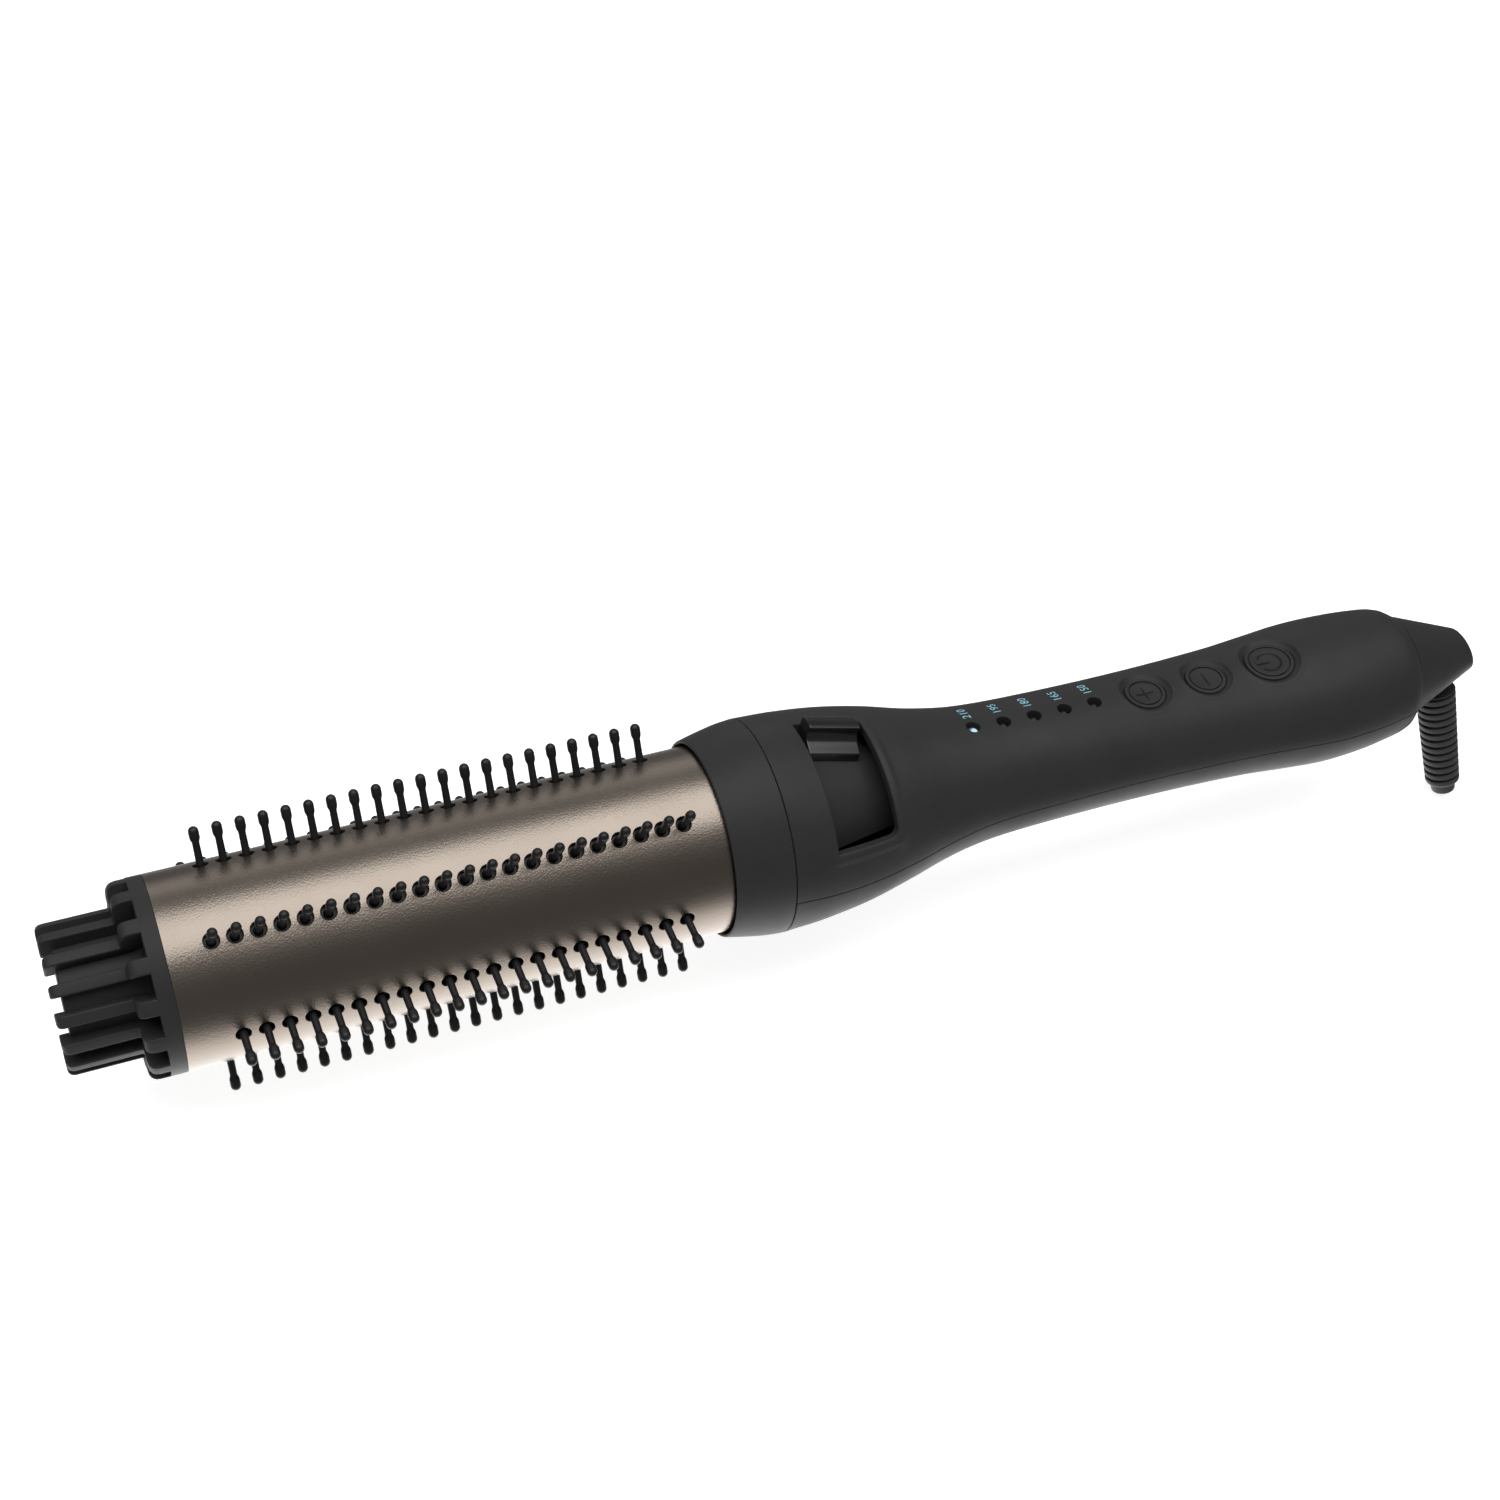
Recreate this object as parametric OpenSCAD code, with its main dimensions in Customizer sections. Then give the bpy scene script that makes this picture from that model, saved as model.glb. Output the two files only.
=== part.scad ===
// Heated round brush with bristles that retract into the barrel.
// +X runs from the finger cap to the cord, +Z points to the buttons and -Y to the front.
// The origin is the centre of the finger cap's flat end.
// Angles round the brush are counted from the front (-Y) over the top (+Z).

/* [Barrel] */
// Outer diameter of the heated barrel
barrel_d = 38; // [36:0.5:40]
// Wall thickness of the barrel
barrel_wall = 1; // [0.8:0.1:1.2]
// Length of barrel between the finger cap and the collar
barrel_show = 106.8; // [106:0.2:108]

/* [Bristles] */
// Height of the bristle tips above the barrel
bristle_out = 7.5; // [6.5:0.1:7.6]
// Travel of a bristle row when the lever turns fully
row_lift = 7.9; // [7.8:0.1:8]
// Distance between bristles along a row
bristle_pitch = 4.33; // [4.2:0.01:4.34]
// Bristles in the longer rows; the rows between them have one fewer
bristle_count = 22; // [16:1:22]
// Diameter of the barrel's bristle holes
bristle_hole_d = 3; // [2.6:0.1:3.2]
// Diameter of a bristle at its foot
bristle_d = 1.45; // [1.2:0.05:1.6]
// Diameter of the rounded head of a bristle
bristle_head_d = 2; // [1.6:0.05:2.2]

/* [Finger cap] */
// Length of the finger cap from its flat end to the barrel
cap_len = 19; // [18:0.5:20]
// Number of grip fins round the cap
fin_count = 15; // [12:1:17]
// Angle that each fin covers
fin_angle = 9.8; // [8:0.2:11]
// Diameter over the fins where the fingers hold them
fin_d = 28.7; // [27:0.1:30]
// Diameter of the core between the fins
cap_core_d = 23.6; // [22:0.2:24]
// Distance that the fins stand past the flat end
fin_past = 1.9; // [1:0.1:2.5]

/* [Lever] */
// Angle that the thumb lever turns through
lever_turn = 52; // [40:1:52]
// Length of the lever window along the handle
window_len = 13.6; // [13:0.1:14]
// Lower edge of the lever window, in degrees above the front
window_low = 23.5; // [22:0.5:26]
// Upper edge of the lever window, in degrees above the front
window_high = 107; // [106:0.5:109]

/* [Handle] */
// Wall thickness of the handle shells
shell_wall = 2; // [1.8:0.1:2.2]
// Diameter of an indicator hole
led_hole_d = 3; // [2.8:0.1:3.2]
// Distance between indicator holes
led_pitch = 6.98; // [6.8:0.02:7.1]
// Number of indicators
led_count = 5; // [3:1:5]
// Diameter of the plus and minus buttons
button_d = 8.7; // [8.2:0.1:9.4]
// Diameter of the power button
power_d = 10.6; // [10:0.1:11]
// Travel of a button
button_travel = 0.6; // [0.4:0.1:0.8]

/* [Cord outlet] */
// Roll of the swivelled outlet about the handle's axis
outlet_roll = 17.8; // [0:0.1:30]
// Lean of the strain relief from square, towards the cord end
relief_lean = 9.3; // [8:0.1:10]
// Diameter of the hole for the cord
cord_hole_d = 4.2; // [3.6:0.1:4.4]
// Number of grooves in the strain relief
rib_count = 13; // [10:1:13]
// Distance between grooves
rib_pitch = 1.83; // [1.7:0.01:1.85]

/* [Hidden] */
$fn = 64;
eps = 0.01;
turn_fit = 0.05; // radial play of a turning shaft
play = 0.3; // play between pieces that move past each other

barrel_r = barrel_d / 2;
bore_r = barrel_r - barrel_wall;
barrel_x = cap_len;
lip_x = barrel_x + barrel_show;
barrel_end_x = lip_x + 5.2;
seam_x = lip_x + 12.1;
handle_len = 149.6;
tail_x = seam_x + handle_len;
tail_r = 12.1;

// Finger cap
band_x = 15.8;
first_fin = 7.1;
plug_r = 6;
plug_t = 1.5;

// Bristle rows
row_count = 6;
row_step = 360 / row_count;
row_first_x = barrel_x + 8.44;
bar_w = 4.4;
bar_t = 2;
bar_top_r = bore_r - 0.5;
bar_x0 = barrel_x + 6.7;
bar_x1 = lip_x - 4.7;
tip_r = barrel_r + bristle_out;
head_len = 3;
neck_d = 1.3;
pin_r = 1;
pin_out_r = 13.2;
lug_t = 1.5;
lug_w = 3;

// Cam discs and guide plates
plate_t = 2;
guide_gap = 0.5;
cam_gap = 0.6;
front_guide_x = bar_x0 - guide_gap - plate_t;
front_cam_x = front_guide_x - cam_gap - plate_t;
rear_guide_x = bar_x1 + guide_gap;
rear_cam_x = rear_guide_x + plate_t + cam_gap;
cam_r = 15.4;
slot_half = pin_r + play;
shaft_r = 3;
shaft_x0 = barrel_x - 6;
shaft_x1 = seam_x + 34;

// Heater pockets inside the barrel, between the rows
pocket_angles = [30, 150, 270];
pocket_x0 = barrel_x + 12;
pocket_x1 = lip_x - 15;
pocket_w = 7.4;
pocket_h = 3;
pocket_top_r = bore_r - 0.4;
pocket_wall = 0.8;
heater_play = 0.1;
lead_r = 16.2;
joint_swell = 1.08;

// Barrel mount
mount_bore_r = 17;
mount_r = 20.2;
sleeve_r = 18.8;

// Lever and its curved shield
window_x0 = seam_x + 9;
window_x1 = window_x0 + window_len;
shield_x0 = window_x0 - 1.4;
shield_x1 = window_x1 + 1.9;
shield_r0 = 18.3;
shield_slope = 0.29;
shield_t = 1.5;
shield_low = window_low - 3;
shield_high = window_high + lever_turn + 3;
web_x = shield_x0 + 4.5;
web_t = 2;
hub_r = 5.5;
block_x0 = window_x0 + 0.35;
block_len = window_len - 2.6;
block_turn = 6;
bracket_x = seam_x + 28.5;
bracket_t = 4;
bracket_half = 12;
bracket_low = -8;
bracket_high = 6;
bracket_post_y = [-9.6, 9.6];
lever_screw_x = window_x0 + 7.8;
lever_pilot_r = 0.9;

// Small screws
small_screw_r = 0.78;
small_pilot_r = 0.8;
small_hole_r = 1;
small_head_r = 1.7;
small_head_t = 1.1;

// Handle outline: station after the seam, half width, height above and depth below the parting plane
outline = [
    [0, 22.2, 22, 22],
    [8.5, 22.5, 20.8, 20.2],
    [18, 21.6, 19.5, 18.3],
    [27.5, 19.5, 17.7, 16.1],
    [37, 16.8, 15.2, 14.5],
    [47, 14.9, 13.5, 13.7],
    [62, 14.2, 12.5, 13.3],
    [86, 14.1, 12, 13.4],
    [107, 14.9, 12, 14],
    [118, 15.8, 12.5, 15],
    [127, 16.5, 13, 15.5],
    [136, 16.1, 13.4, 15.1],
    [143, 15, 13.4, 14.3],
    [147.3, 13.4, 12.6, 13.2],
    [handle_len, tail_r, tail_r - 0.2, tail_r],
];
tail_wall = 4.5;
skin_steps = 24;
skin_stations = 46;
core_steps = 12;
core_stations = 20;

// Controls
led_x = seam_x + 46.7;
button_x = [seam_x + 86.7, seam_x + 101.1, seam_x + 116.4];
button_r = [button_d / 2, button_d / 2, power_d / 2];
board_x0 = seam_x + 43.2;
board_x1 = seam_x + 124;
board_w = 18;
board_z = 1.6;
board_t = 1.6;
board_top = board_z + board_t;
board_post_x = [led_x + led_pitch / 2, board_x1 - 2.5];
switch_h = 3.5;
plunger_h = 1;
bowl_depth = 1.1;
bowl_wide = 1.15;
flange_more = 0.9;
flange_t = 0.8;
screw_x = [seam_x + 38, seam_x + 128.6];
boss_r = 3.2;
pilot_r = 1.2;
screw_shank_r = 1.15;
screw_head_r = 2.6;
screw_head_t = 1.8;

// Cord outlet
neck_r = 6;
flange_r = 8.5;
ring_x = [tail_x - 14, tail_x - 11];
ring_w = 2;
ring_r = 5.2;
ring_core_r = 4.5;
cone_x0 = tail_x + play;
cone_r0 = 11.7;
cone_slope = 0.385;
cone_len = 18.1;
cone_tilt = -17;
pivot_x = tail_x + 11;
ball_r = 4.25;
socket_r = ball_r + turn_fit;
relief_top_r = 4.4;
relief_end_r = 3.76;
relief_neck_r = 2.6;
relief_start = 8.2;
relief_end = 32.4;
nose_r = 2.6;
nose_end = 35;

ROWS = [for (i = [1:row_count]) str("bristle_row_", i)];
HEATERS = [for (i = [1:len(pocket_angles)]) str("heater_bar_", i)];
LEDS = [for (i = [1:led_count]) str("indicator_", i)];
BUTTONS = ["button_plus", "button_minus", "button_power"];
SWITCHES = ["switch_plus", "switch_minus", "switch_power"];

// ---- Helpers ----

// Lays a shape that was made along Z along X instead
module along_x(x) {
    translate([x, 0, 0]) rotate([0, 90, 0]) children();
}

// Turns a shape that points up so that it points at an angle round the brush
module at_angle(angle) {
    rotate([90 - angle, 0, 0]) children();
}

// Extrudes a flat shape drawn in Y and Z along X
module across(x, length) {
    translate([x, 0, 0]) rotate([90, 0, 90]) linear_extrude(length) children();
}

function polar(r, angle) = [-r * cos(angle), r * sin(angle)];

function sector(low, high, r, steps = 12) =
    concat([[0, 0]], [for (i = [0:steps]) polar(r, low + (high - low) * i / steps)]);

function arc(cx, cy, r, from, to, steps = 6) =
    [for (i = [0:steps]) let (a = from + (to - from) * i / steps) [cx + r * cos(a), cy + r * sin(a)]];

// Slope of one outline column at a station, from its neighbours
function outline_slope(i, column) =
    let (lo = max(i - 1, 0), hi = min(i + 1, len(outline) - 1))
    (outline[hi][column] - outline[lo][column]) / (outline[hi][0] - outline[lo][0]);

function outline_cell(x, i = 0) =
    i >= len(outline) - 2 || x <= outline[i + 1][0] ? i : outline_cell(x, i + 1);

// Smooth value of an outline column at a distance after the seam
function outline_at(x, column) =
    let (
        i = outline_cell(x),
        span = outline[i + 1][0] - outline[i][0],
        t = (x - outline[i][0]) / span,
        a = outline[i][column],
        b = outline[i + 1][column],
        sa = outline_slope(i, column) * span,
        sb = outline_slope(i + 1, column) * span
    )
    a * (1 + 2 * t) * (1 - t) * (1 - t) + sa * t * (1 - t) * (1 - t)
        + b * t * t * (3 - 2 * t) - sb * t * t * (1 - t);

// Half section of the handle: upper for side 1, lower for side -1, closed below the parting plane
function half_section(x, side, inset, steps, skirt) =
    let (
        w = outline_at(x, 1) - inset,
        h = outline_at(x, side > 0 ? 2 : 3) - inset
    )
    concat(
        skirt > 0 ? [[seam_x + x, -w, -side * skirt]] : [],
        [for (i = [0:steps]) let (a = 180 * i / steps) [seam_x + x, -w * cos(a), side * h * sin(a)]],
        skirt > 0 ? [[seam_x + x, w, -side * skirt]] : []
    );

// Lofted half of the handle between two stations
module half_handle(side, inset, x0, x1, stations, steps, skirt) {
    rows = [for (i = [0:stations]) half_section(x0 + (x1 - x0) * i / stations, side, inset, steps, skirt)];
    n = len(rows[0]);
    quads = [
        for (i = [0:stations - 1])
            for (j = [0:n - 1])
                let (a = i * n + j, b = i * n + (j + 1) % n)
                [a, b, b + n, a + n]
    ];
    caps = [[for (j = [n - 1:-1:0]) j], [for (j = [0:n - 1]) stations * n + j]];
    faces = concat(quads, caps);
    flipped = [for (f = faces) [for (k = [len(f) - 1:-1:0]) f[k]]];
    polyhedron(points = [for (row = rows) each row], faces = side > 0 ? faces : flipped);
}

// ---- Finger cap ----

module cap_profile() {
    shoulder = 12;
    fin_r = fin_d / 2;
    corner = 1.6;
    polygon(concat(
        [[0, 0]],
        [[cap_core_d / 2 - 1, 0]],
        [[cap_core_d / 2 - 1, -fin_past]],
        arc(fin_r - corner, -fin_past + corner, corner, -90, 0),
        [[fin_r, shoulder - 0.4]],
        [[fin_r + 0.4, shoulder]],
        arc(barrel_r - 2.2, shoulder + 2.2, 2.2, -90, 0),
        [[barrel_r, band_x]],
        [[0, band_x]]
    ));
}

module tip_cap() {
    spigot_r = bore_r - turn_fit;
    color([0.2, 0.2, 0.2])
    difference() {
        union() {
            along_x(0) cylinder(r = cap_core_d / 2, h = band_x + eps);
            along_x(band_x) cylinder(r = barrel_r, h = cap_len - band_x);
            along_x(cap_len - eps) cylinder(r = spigot_r, h = front_guide_x - cap_len);
            intersection() {
                along_x(0) rotate_extrude() cap_profile();
                for (k = [0:fin_count - 1])
                    at_angle(first_fin + k * 360 / fin_count)
                        across(-fin_past - 1, band_x + fin_past + 1.5)
                            polygon(sector(90 - fin_angle / 2, 90 + fin_angle / 2, barrel_r + 2, 4));
            }
        }
        along_x(cap_len) cylinder(r = cam_r + 1, h = front_guide_x - cap_len + 1);
        along_x(shaft_x0 - 0.4) cylinder(r = shaft_r + turn_fit, h = cap_len);
        along_x(-fin_past - 1) cylinder(r = plug_r, h = fin_past + 1 + plug_t);
    }
}

module tip_plug() {
    color([0.16, 0.16, 0.17])
    along_x(0) cylinder(r = plug_r - turn_fit, h = plug_t);
}

// ---- Barrel ----

function row_long(i) = i % 2 == 0;
function row_bristles(i) = row_long(i) ? bristle_count : bristle_count - 1;
function row_start(i) = row_first_x + (row_long(i) ? 0 : bristle_pitch / 2);
function row_angle(i) = row_step * (i + 1);

module barrel_tube() {
    color([0.45, 0.41, 0.37])
    difference() {
        union() {
            difference() {
                along_x(barrel_x) cylinder(r = barrel_r, h = barrel_end_x - barrel_x, $fn = 96);
                along_x(barrel_x - 1) cylinder(r = bore_r, h = barrel_end_x, $fn = 96);
            }
            intersection() {
                along_x(barrel_x) cylinder(r = barrel_r - barrel_wall / 2, h = barrel_end_x - barrel_x);
                for (angle = pocket_angles)
                    at_angle(angle)
                        translate([pocket_x0, -pocket_w / 2 - pocket_wall, pocket_top_r - pocket_h - pocket_wall])
                            cube([pocket_x1 - pocket_x0, pocket_w + 2 * pocket_wall, pocket_h + 4]);
            }
        }
        for (angle = pocket_angles)
            at_angle(angle)
                translate([pocket_x0 - 1, -pocket_w / 2, pocket_top_r - pocket_h])
                    cube([pocket_x1 - pocket_x0 + 2, pocket_w, pocket_h - 0.4]);
        for (i = [0:row_count - 1])
            at_angle(row_angle(i))
                for (k = [0:row_bristles(i) - 1])
                    translate([row_start(i) + k * bristle_pitch, 0, bore_r - 2])
                        cylinder(d = bristle_hole_d, h = 5, $fn = 24);
    }
}

module guide_plate(x) {
    color([0.75, 0.72, 0.62])
    difference() {
        along_x(x) cylinder(r = bore_r - turn_fit, h = plate_t);
        along_x(x - 1) cylinder(r = shaft_r + turn_fit, h = plate_t + 2);
        for (i = [0:row_count - 1])
            at_angle(row_angle(i)) {
                translate([x - 1, -slot_half, pin_out_r - row_lift])
                    cube([plate_t + 2, 2 * slot_half, row_lift]);
                for (r = [pin_out_r - row_lift, pin_out_r])
                    translate([x - 1, 0, r]) rotate([0, 90, 0]) cylinder(r = slot_half, h = plate_t + 2, $fn = 32);
            }
        for (angle = pocket_angles)
            at_angle(angle)
                translate([x - 1, 0, lead_r]) rotate([0, 90, 0]) cylinder(r = 1.1, h = plate_t + 2, $fn = 24);
    }
}

module front_guide() {
    guide_plate(front_guide_x);
}

module rear_guide() {
    guide_plate(rear_guide_x);
}

// ---- Bristle rows ----

module bristle() {
    neck_r = tip_r - head_len;
    rotate_extrude($fn = 16)
        polygon(concat(
            [[0, bar_top_r - 0.5], [bristle_d / 2 + 0.1, bar_top_r - 0.5], [bristle_d / 2 + 0.1, bar_top_r]],
            [[bristle_d / 2, bar_top_r + 1]],
            [[neck_d / 2, neck_r]],
            [[bristle_head_d / 2, neck_r + head_len * 0.45]],
            arc(0, tip_r - bristle_head_d / 2, bristle_head_d / 2, 0, 90, 4)
        ));
}

module bristle_row(i) {
    color([0.17, 0.17, 0.17])
    at_angle(row_angle(i)) {
        translate([bar_x0, -bar_w / 2, bar_top_r - bar_t])
            cube([bar_x1 - bar_x0, bar_w, bar_t]);
        for (x = [bar_x0, bar_x1 - lug_t])
            translate([x, -lug_w / 2, pin_out_r - pin_r])
                cube([lug_t, lug_w, bar_top_r - bar_t / 2 - pin_out_r + pin_r]);
        for (x = [front_cam_x + play, bar_x1 - lug_t])
            translate([x, 0, pin_out_r]) rotate([0, 90, 0])
                cylinder(r = pin_r, h = plate_t * 2 + guide_gap + cam_gap + lug_t - play, $fn = 24);
        for (k = [0:row_bristles(i) - 1])
            translate([row_start(i) + k * bristle_pitch, 0, 0]) bristle();
    }
}

// ---- Cam and lever ----

// Centre of a cam slot, a share t of the way from its outer to its inner end
function cam_path(angle, t) = polar(pin_out_r - row_lift * t, angle + lever_turn * t);

function cam_side(angle, t, side) =
    let (
        d = cam_path(angle, t + 0.001) - cam_path(angle, t - 0.001),
        n = [-d[1], d[0]] / norm(d)
    )
    cam_path(angle, t) + n * side * slot_half;

// Round end of a cam slot, turning clockwise from the given heading
function cam_end(center, heading) = arc(center[0], center[1], slot_half, heading - 20, heading - 160, 7);

module cam_slot(angle) {
    steps = 12;
    outer = cam_path(angle, 0);
    inner = cam_path(angle, 1);
    start = cam_side(angle, 0, -1) - outer;
    finish = cam_side(angle, 1, 1) - inner;
    polygon(concat(
        [for (k = [0:steps]) cam_side(angle, k / steps, 1)],
        cam_end(inner, atan2(finish[1], finish[0])),
        [for (k = [steps:-1:0]) cam_side(angle, k / steps, -1)],
        cam_end(outer, atan2(start[1], start[0]))
    ));
}

module cam_disc(x) {
    color([0.62, 0.63, 0.66])
    across(x, plate_t)
        difference() {
            circle(r = cam_r);
            circle(r = shaft_r + 0.02);
            for (i = [0:row_count - 1])
                cam_slot(row_angle(i));
        }
}

module front_cam() {
    cam_disc(front_cam_x);
}

module rear_cam() {
    cam_disc(rear_cam_x);
}

module cam_shaft() {
    color([0.6, 0.62, 0.65])
    along_x(shaft_x0) cylinder(r = shaft_r, h = shaft_x1 - shaft_x0);
}

function shield_r(x) = shield_r0 - shield_slope * (x - shield_x0);

module shield_cone(inset, x0, x1) {
    along_x(x0) cylinder(r1 = shield_r(x0) - inset, r2 = shield_r(x1) - inset, h = x1 - x0);
}

module lever_shield() {
    color([0.08, 0.08, 0.09])
    difference() {
        union() {
            intersection() {
                difference() {
                    shield_cone(0, shield_x0, shield_x1);
                    shield_cone(shield_t, shield_x0 - 1, web_x);
                    shield_cone(shield_t, web_x + web_t, shield_x1 + 1);
                }
                across(shield_x0 - 1, shield_x1 - shield_x0 + 2)
                    polygon(sector(shield_low, shield_high, 26, 16));
            }
            along_x(web_x) cylinder(r = hub_r, h = web_t + 6);
        }
        along_x(shield_x0 - 2) cylinder(r = shaft_r + 0.02, h = 40);
        rotate([-block_turn, 0, 0])
            translate([lever_screw_x, 0, 0]) cylinder(r = lever_pilot_r, h = 30, $fn = 24);
    }
}

module thumb_lever() {
    lean = atan(shield_slope);
    color([0.05, 0.05, 0.06])
    rotate([-block_turn, 0, 0])
    difference() {
        translate([block_x0, 0, shield_r(block_x0)])
            rotate([0, lean, 0])
                across(-0.2, block_len / cos(lean))
                    polygon(concat(
                        [[2.9, -3], [2.9, 4.6]],
                        arc(1.9, 4.6, 1, 0, 90, 3),
                        arc(-0.4, 5, 0.6, 90, 180, 3),
                        [[-1.3, 3.9], [-1.9, 2.9], [-2.8, 2.2], [-3.9, 1.7], [-4.2, 1.1], [-4.2, -3]]
                    ));
        shield_cone(0, shield_x0 - 4, shield_x1 + 4);
        translate([lever_screw_x, 0, 0])
            cylinder(r = lever_pilot_r, h = shield_r(lever_screw_x) + 3, $fn = 24);
    }
}

module lever_screw() {
    seat = shield_r(lever_screw_x) - shield_t - 0.8;
    head_t = 1.4;
    color([0.7, 0.7, 0.72])
    rotate([-block_turn, 0, 0])
    translate([lever_screw_x, 0, seat]) {
        translate([0, 0, -head_t]) cylinder(r = 1.8, h = head_t, $fn = 24);
        cylinder(r = lever_pilot_r - 0.02, h = 4, $fn = 24);
    }
}

// ---- Heater ----

module heater_bar(k) {
    color([0.83, 0.66, 0.3])
    at_angle(pocket_angles[k])
        translate([pocket_x0 + 2, -pocket_w / 2 + heater_play, pocket_top_r - pocket_h + heater_play])
            cube([pocket_x1 - pocket_x0 - 4, pocket_w - 2 * heater_play, pocket_h - 0.4 - 2 * heater_play]);
}

module temperature_sensor() {
    color([0.75, 0.2, 0.15])
    at_angle(pocket_angles[2])
        translate([pocket_x0 + 20, 0, pocket_top_r - pocket_h - pocket_wall - 1.05])
            rotate([0, 90, 0]) cylinder(r = 1, h = 6, $fn = 24);
}

module thermal_fuse() {
    color([0.85, 0.85, 0.8])
    at_angle(pocket_angles[2])
        translate([pocket_x0 + 34, 0, pocket_top_r - pocket_h - pocket_wall - 1.3])
            rotate([0, 90, 0]) cylinder(r = 1.25, h = 10, $fn = 24);
}

// Straight length of wire between two points
module wire(a, b, r) {
    d = b - a;
    translate(a)
        rotate([0, acos(d[2] / norm(d)), atan2(d[1], d[0])])
            cylinder(r = r, h = norm(d), $fn = 24);
}

// Wire along a list of points, with round joints
module wire_run(points, r) {
    for (k = [0:len(points) - 2]) {
        wire(points[k], points[k + 1], r);
        if (k > 0) translate(points[k]) sphere(r = r * joint_swell, $fn = 24);
    }
}

function ring_point(x, r, angle) = [x, -r * cos(angle), r * sin(angle)];

module heater_leads() {
    r = 0.6;
    turn_x = barrel_end_x - 1.8;
    from = [30, 150, -90];
    to = [-55, 246, -66];
    color([0.9, 0.9, 0.88])
    for (k = [0:2]) {
        high = max(from[k], to[k]);
        sweep = abs(from[k] - to[k]);
        wire_run([ring_point(pocket_x1 + 0.5, lead_r, from[k]), ring_point(turn_x, lead_r, from[k])], r);
        along_x(turn_x)
            rotate([0, 0, -90 - high])
                rotate_extrude(angle = sweep) translate([lead_r, 0]) circle(r = r, $fn = 24);
        for (angle = [from[k], to[k]])
            translate(ring_point(turn_x, lead_r, angle)) sphere(r = r * joint_swell, $fn = 24);
        wire_run([
            ring_point(turn_x, lead_r, to[k]),
            ring_point(seam_x + 2, lead_r, to[k]),
            ring_point(bracket_x - 1, 11.6, to[k]),
            ring_point(bracket_x + bracket_t + 1, 11, to[k]),
            [board_x0 + 3, ring_point(0, 11, to[k])[1], board_z - r - 0.3]
        ], r);
    }
}

// ---- Barrel mount and collar ----

module barrel_mount() {
    color([0.28, 0.26, 0.25])
    along_x(0) rotate_extrude()
        polygon([
            [mount_bore_r, rear_cam_x + plate_t + 0.8],
            [bore_r - turn_fit, rear_cam_x + plate_t + 0.8],
            [bore_r - turn_fit, barrel_end_x + turn_fit],
            [mount_r, barrel_end_x + turn_fit],
            [mount_r, seam_x - 0.5],
            [sleeve_r, seam_x - 0.5],
            [sleeve_r, seam_x + 4],
            [mount_bore_r + 1, seam_x + 4],
            [mount_bore_r + 1, seam_x - 2],
            [mount_bore_r, seam_x - 3]
        ]);
}

module collar() {
    lip_r = 20.15;
    color([0.2, 0.2, 0.2])
    along_x(0) rotate_extrude($fn = 96)
        polygon(concat(
            [[barrel_r + 0.5, lip_x + 0.4], [barrel_r + 0.5, lip_x + 2.4]],
            [[barrel_r + 0.06, lip_x + 2.6], [barrel_r + 0.06, barrel_end_x - 0.4]],
            [[mount_r + 0.1, barrel_end_x - 0.4], [mount_r + 0.1, seam_x - 0.15], [22, seam_x - 0.15]],
            [[21.85, seam_x - 3], [21.5, seam_x - 5.6], [21, seam_x - 8.2], [20.5, seam_x - 10.4]],
            [[lip_r, seam_x - 11.8]],
            arc(barrel_r + 0.9, lip_x + 0.35, 0.3, 30, 180, 4)
        ));
}

// ---- Handle shells ----

module window_cut() {
    across(window_x0, window_len)
        polygon(sector(window_low, window_high, 40, 8));
}

module screw_boss(x, side) {
    depth = outline_at(x - seam_x, side > 0 ? 2 : 3) - shell_wall / 2;
    translate([x, 0, side > 0 ? 0 : -depth])
        cylinder(r = boss_r, h = depth, $fn = 32);
}

module top_housing() {
    color([0.2, 0.2, 0.2])
    difference() {
        union() {
            difference() {
                half_handle(1, 0, 0, handle_len, skin_stations, skin_steps, 0);
                half_handle(1, shell_wall, -0.001, handle_len - tail_wall, core_stations, core_steps, 1);
            }
            for (x = screw_x) screw_boss(x, 1);
        }
        window_cut();
        along_x(tail_x - 6) cylinder(r = neck_r + turn_fit, h = 8);
        for (x = screw_x)
            translate([x, 0, -1]) cylinder(r = pilot_r, h = 9, $fn = 24);
        for (k = [0:led_count - 1])
            translate([led_x + k * led_pitch, 0, board_top])
                cylinder(d = led_hole_d, h = 20, $fn = 32);
        for (k = [0:2]) {
            r = button_r[k];
            top = outline_at(button_x[k] - seam_x, 2);
            bowl_r = r + bowl_wide;
            ball = (bowl_r * bowl_r + bowl_depth * bowl_depth) / (2 * bowl_depth);
            translate([button_x[k], 0, board_top])
                cylinder(r = r + 0.2, h = 20);
            translate([button_x[k], 0, top - bowl_depth + ball])
                sphere(r = ball, $fn = 96);
            translate([button_x[k], 0, 0])
                cylinder(r = r + flange_more + 0.3, h = top - bowl_depth - 1);
        }
    }
}

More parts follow.
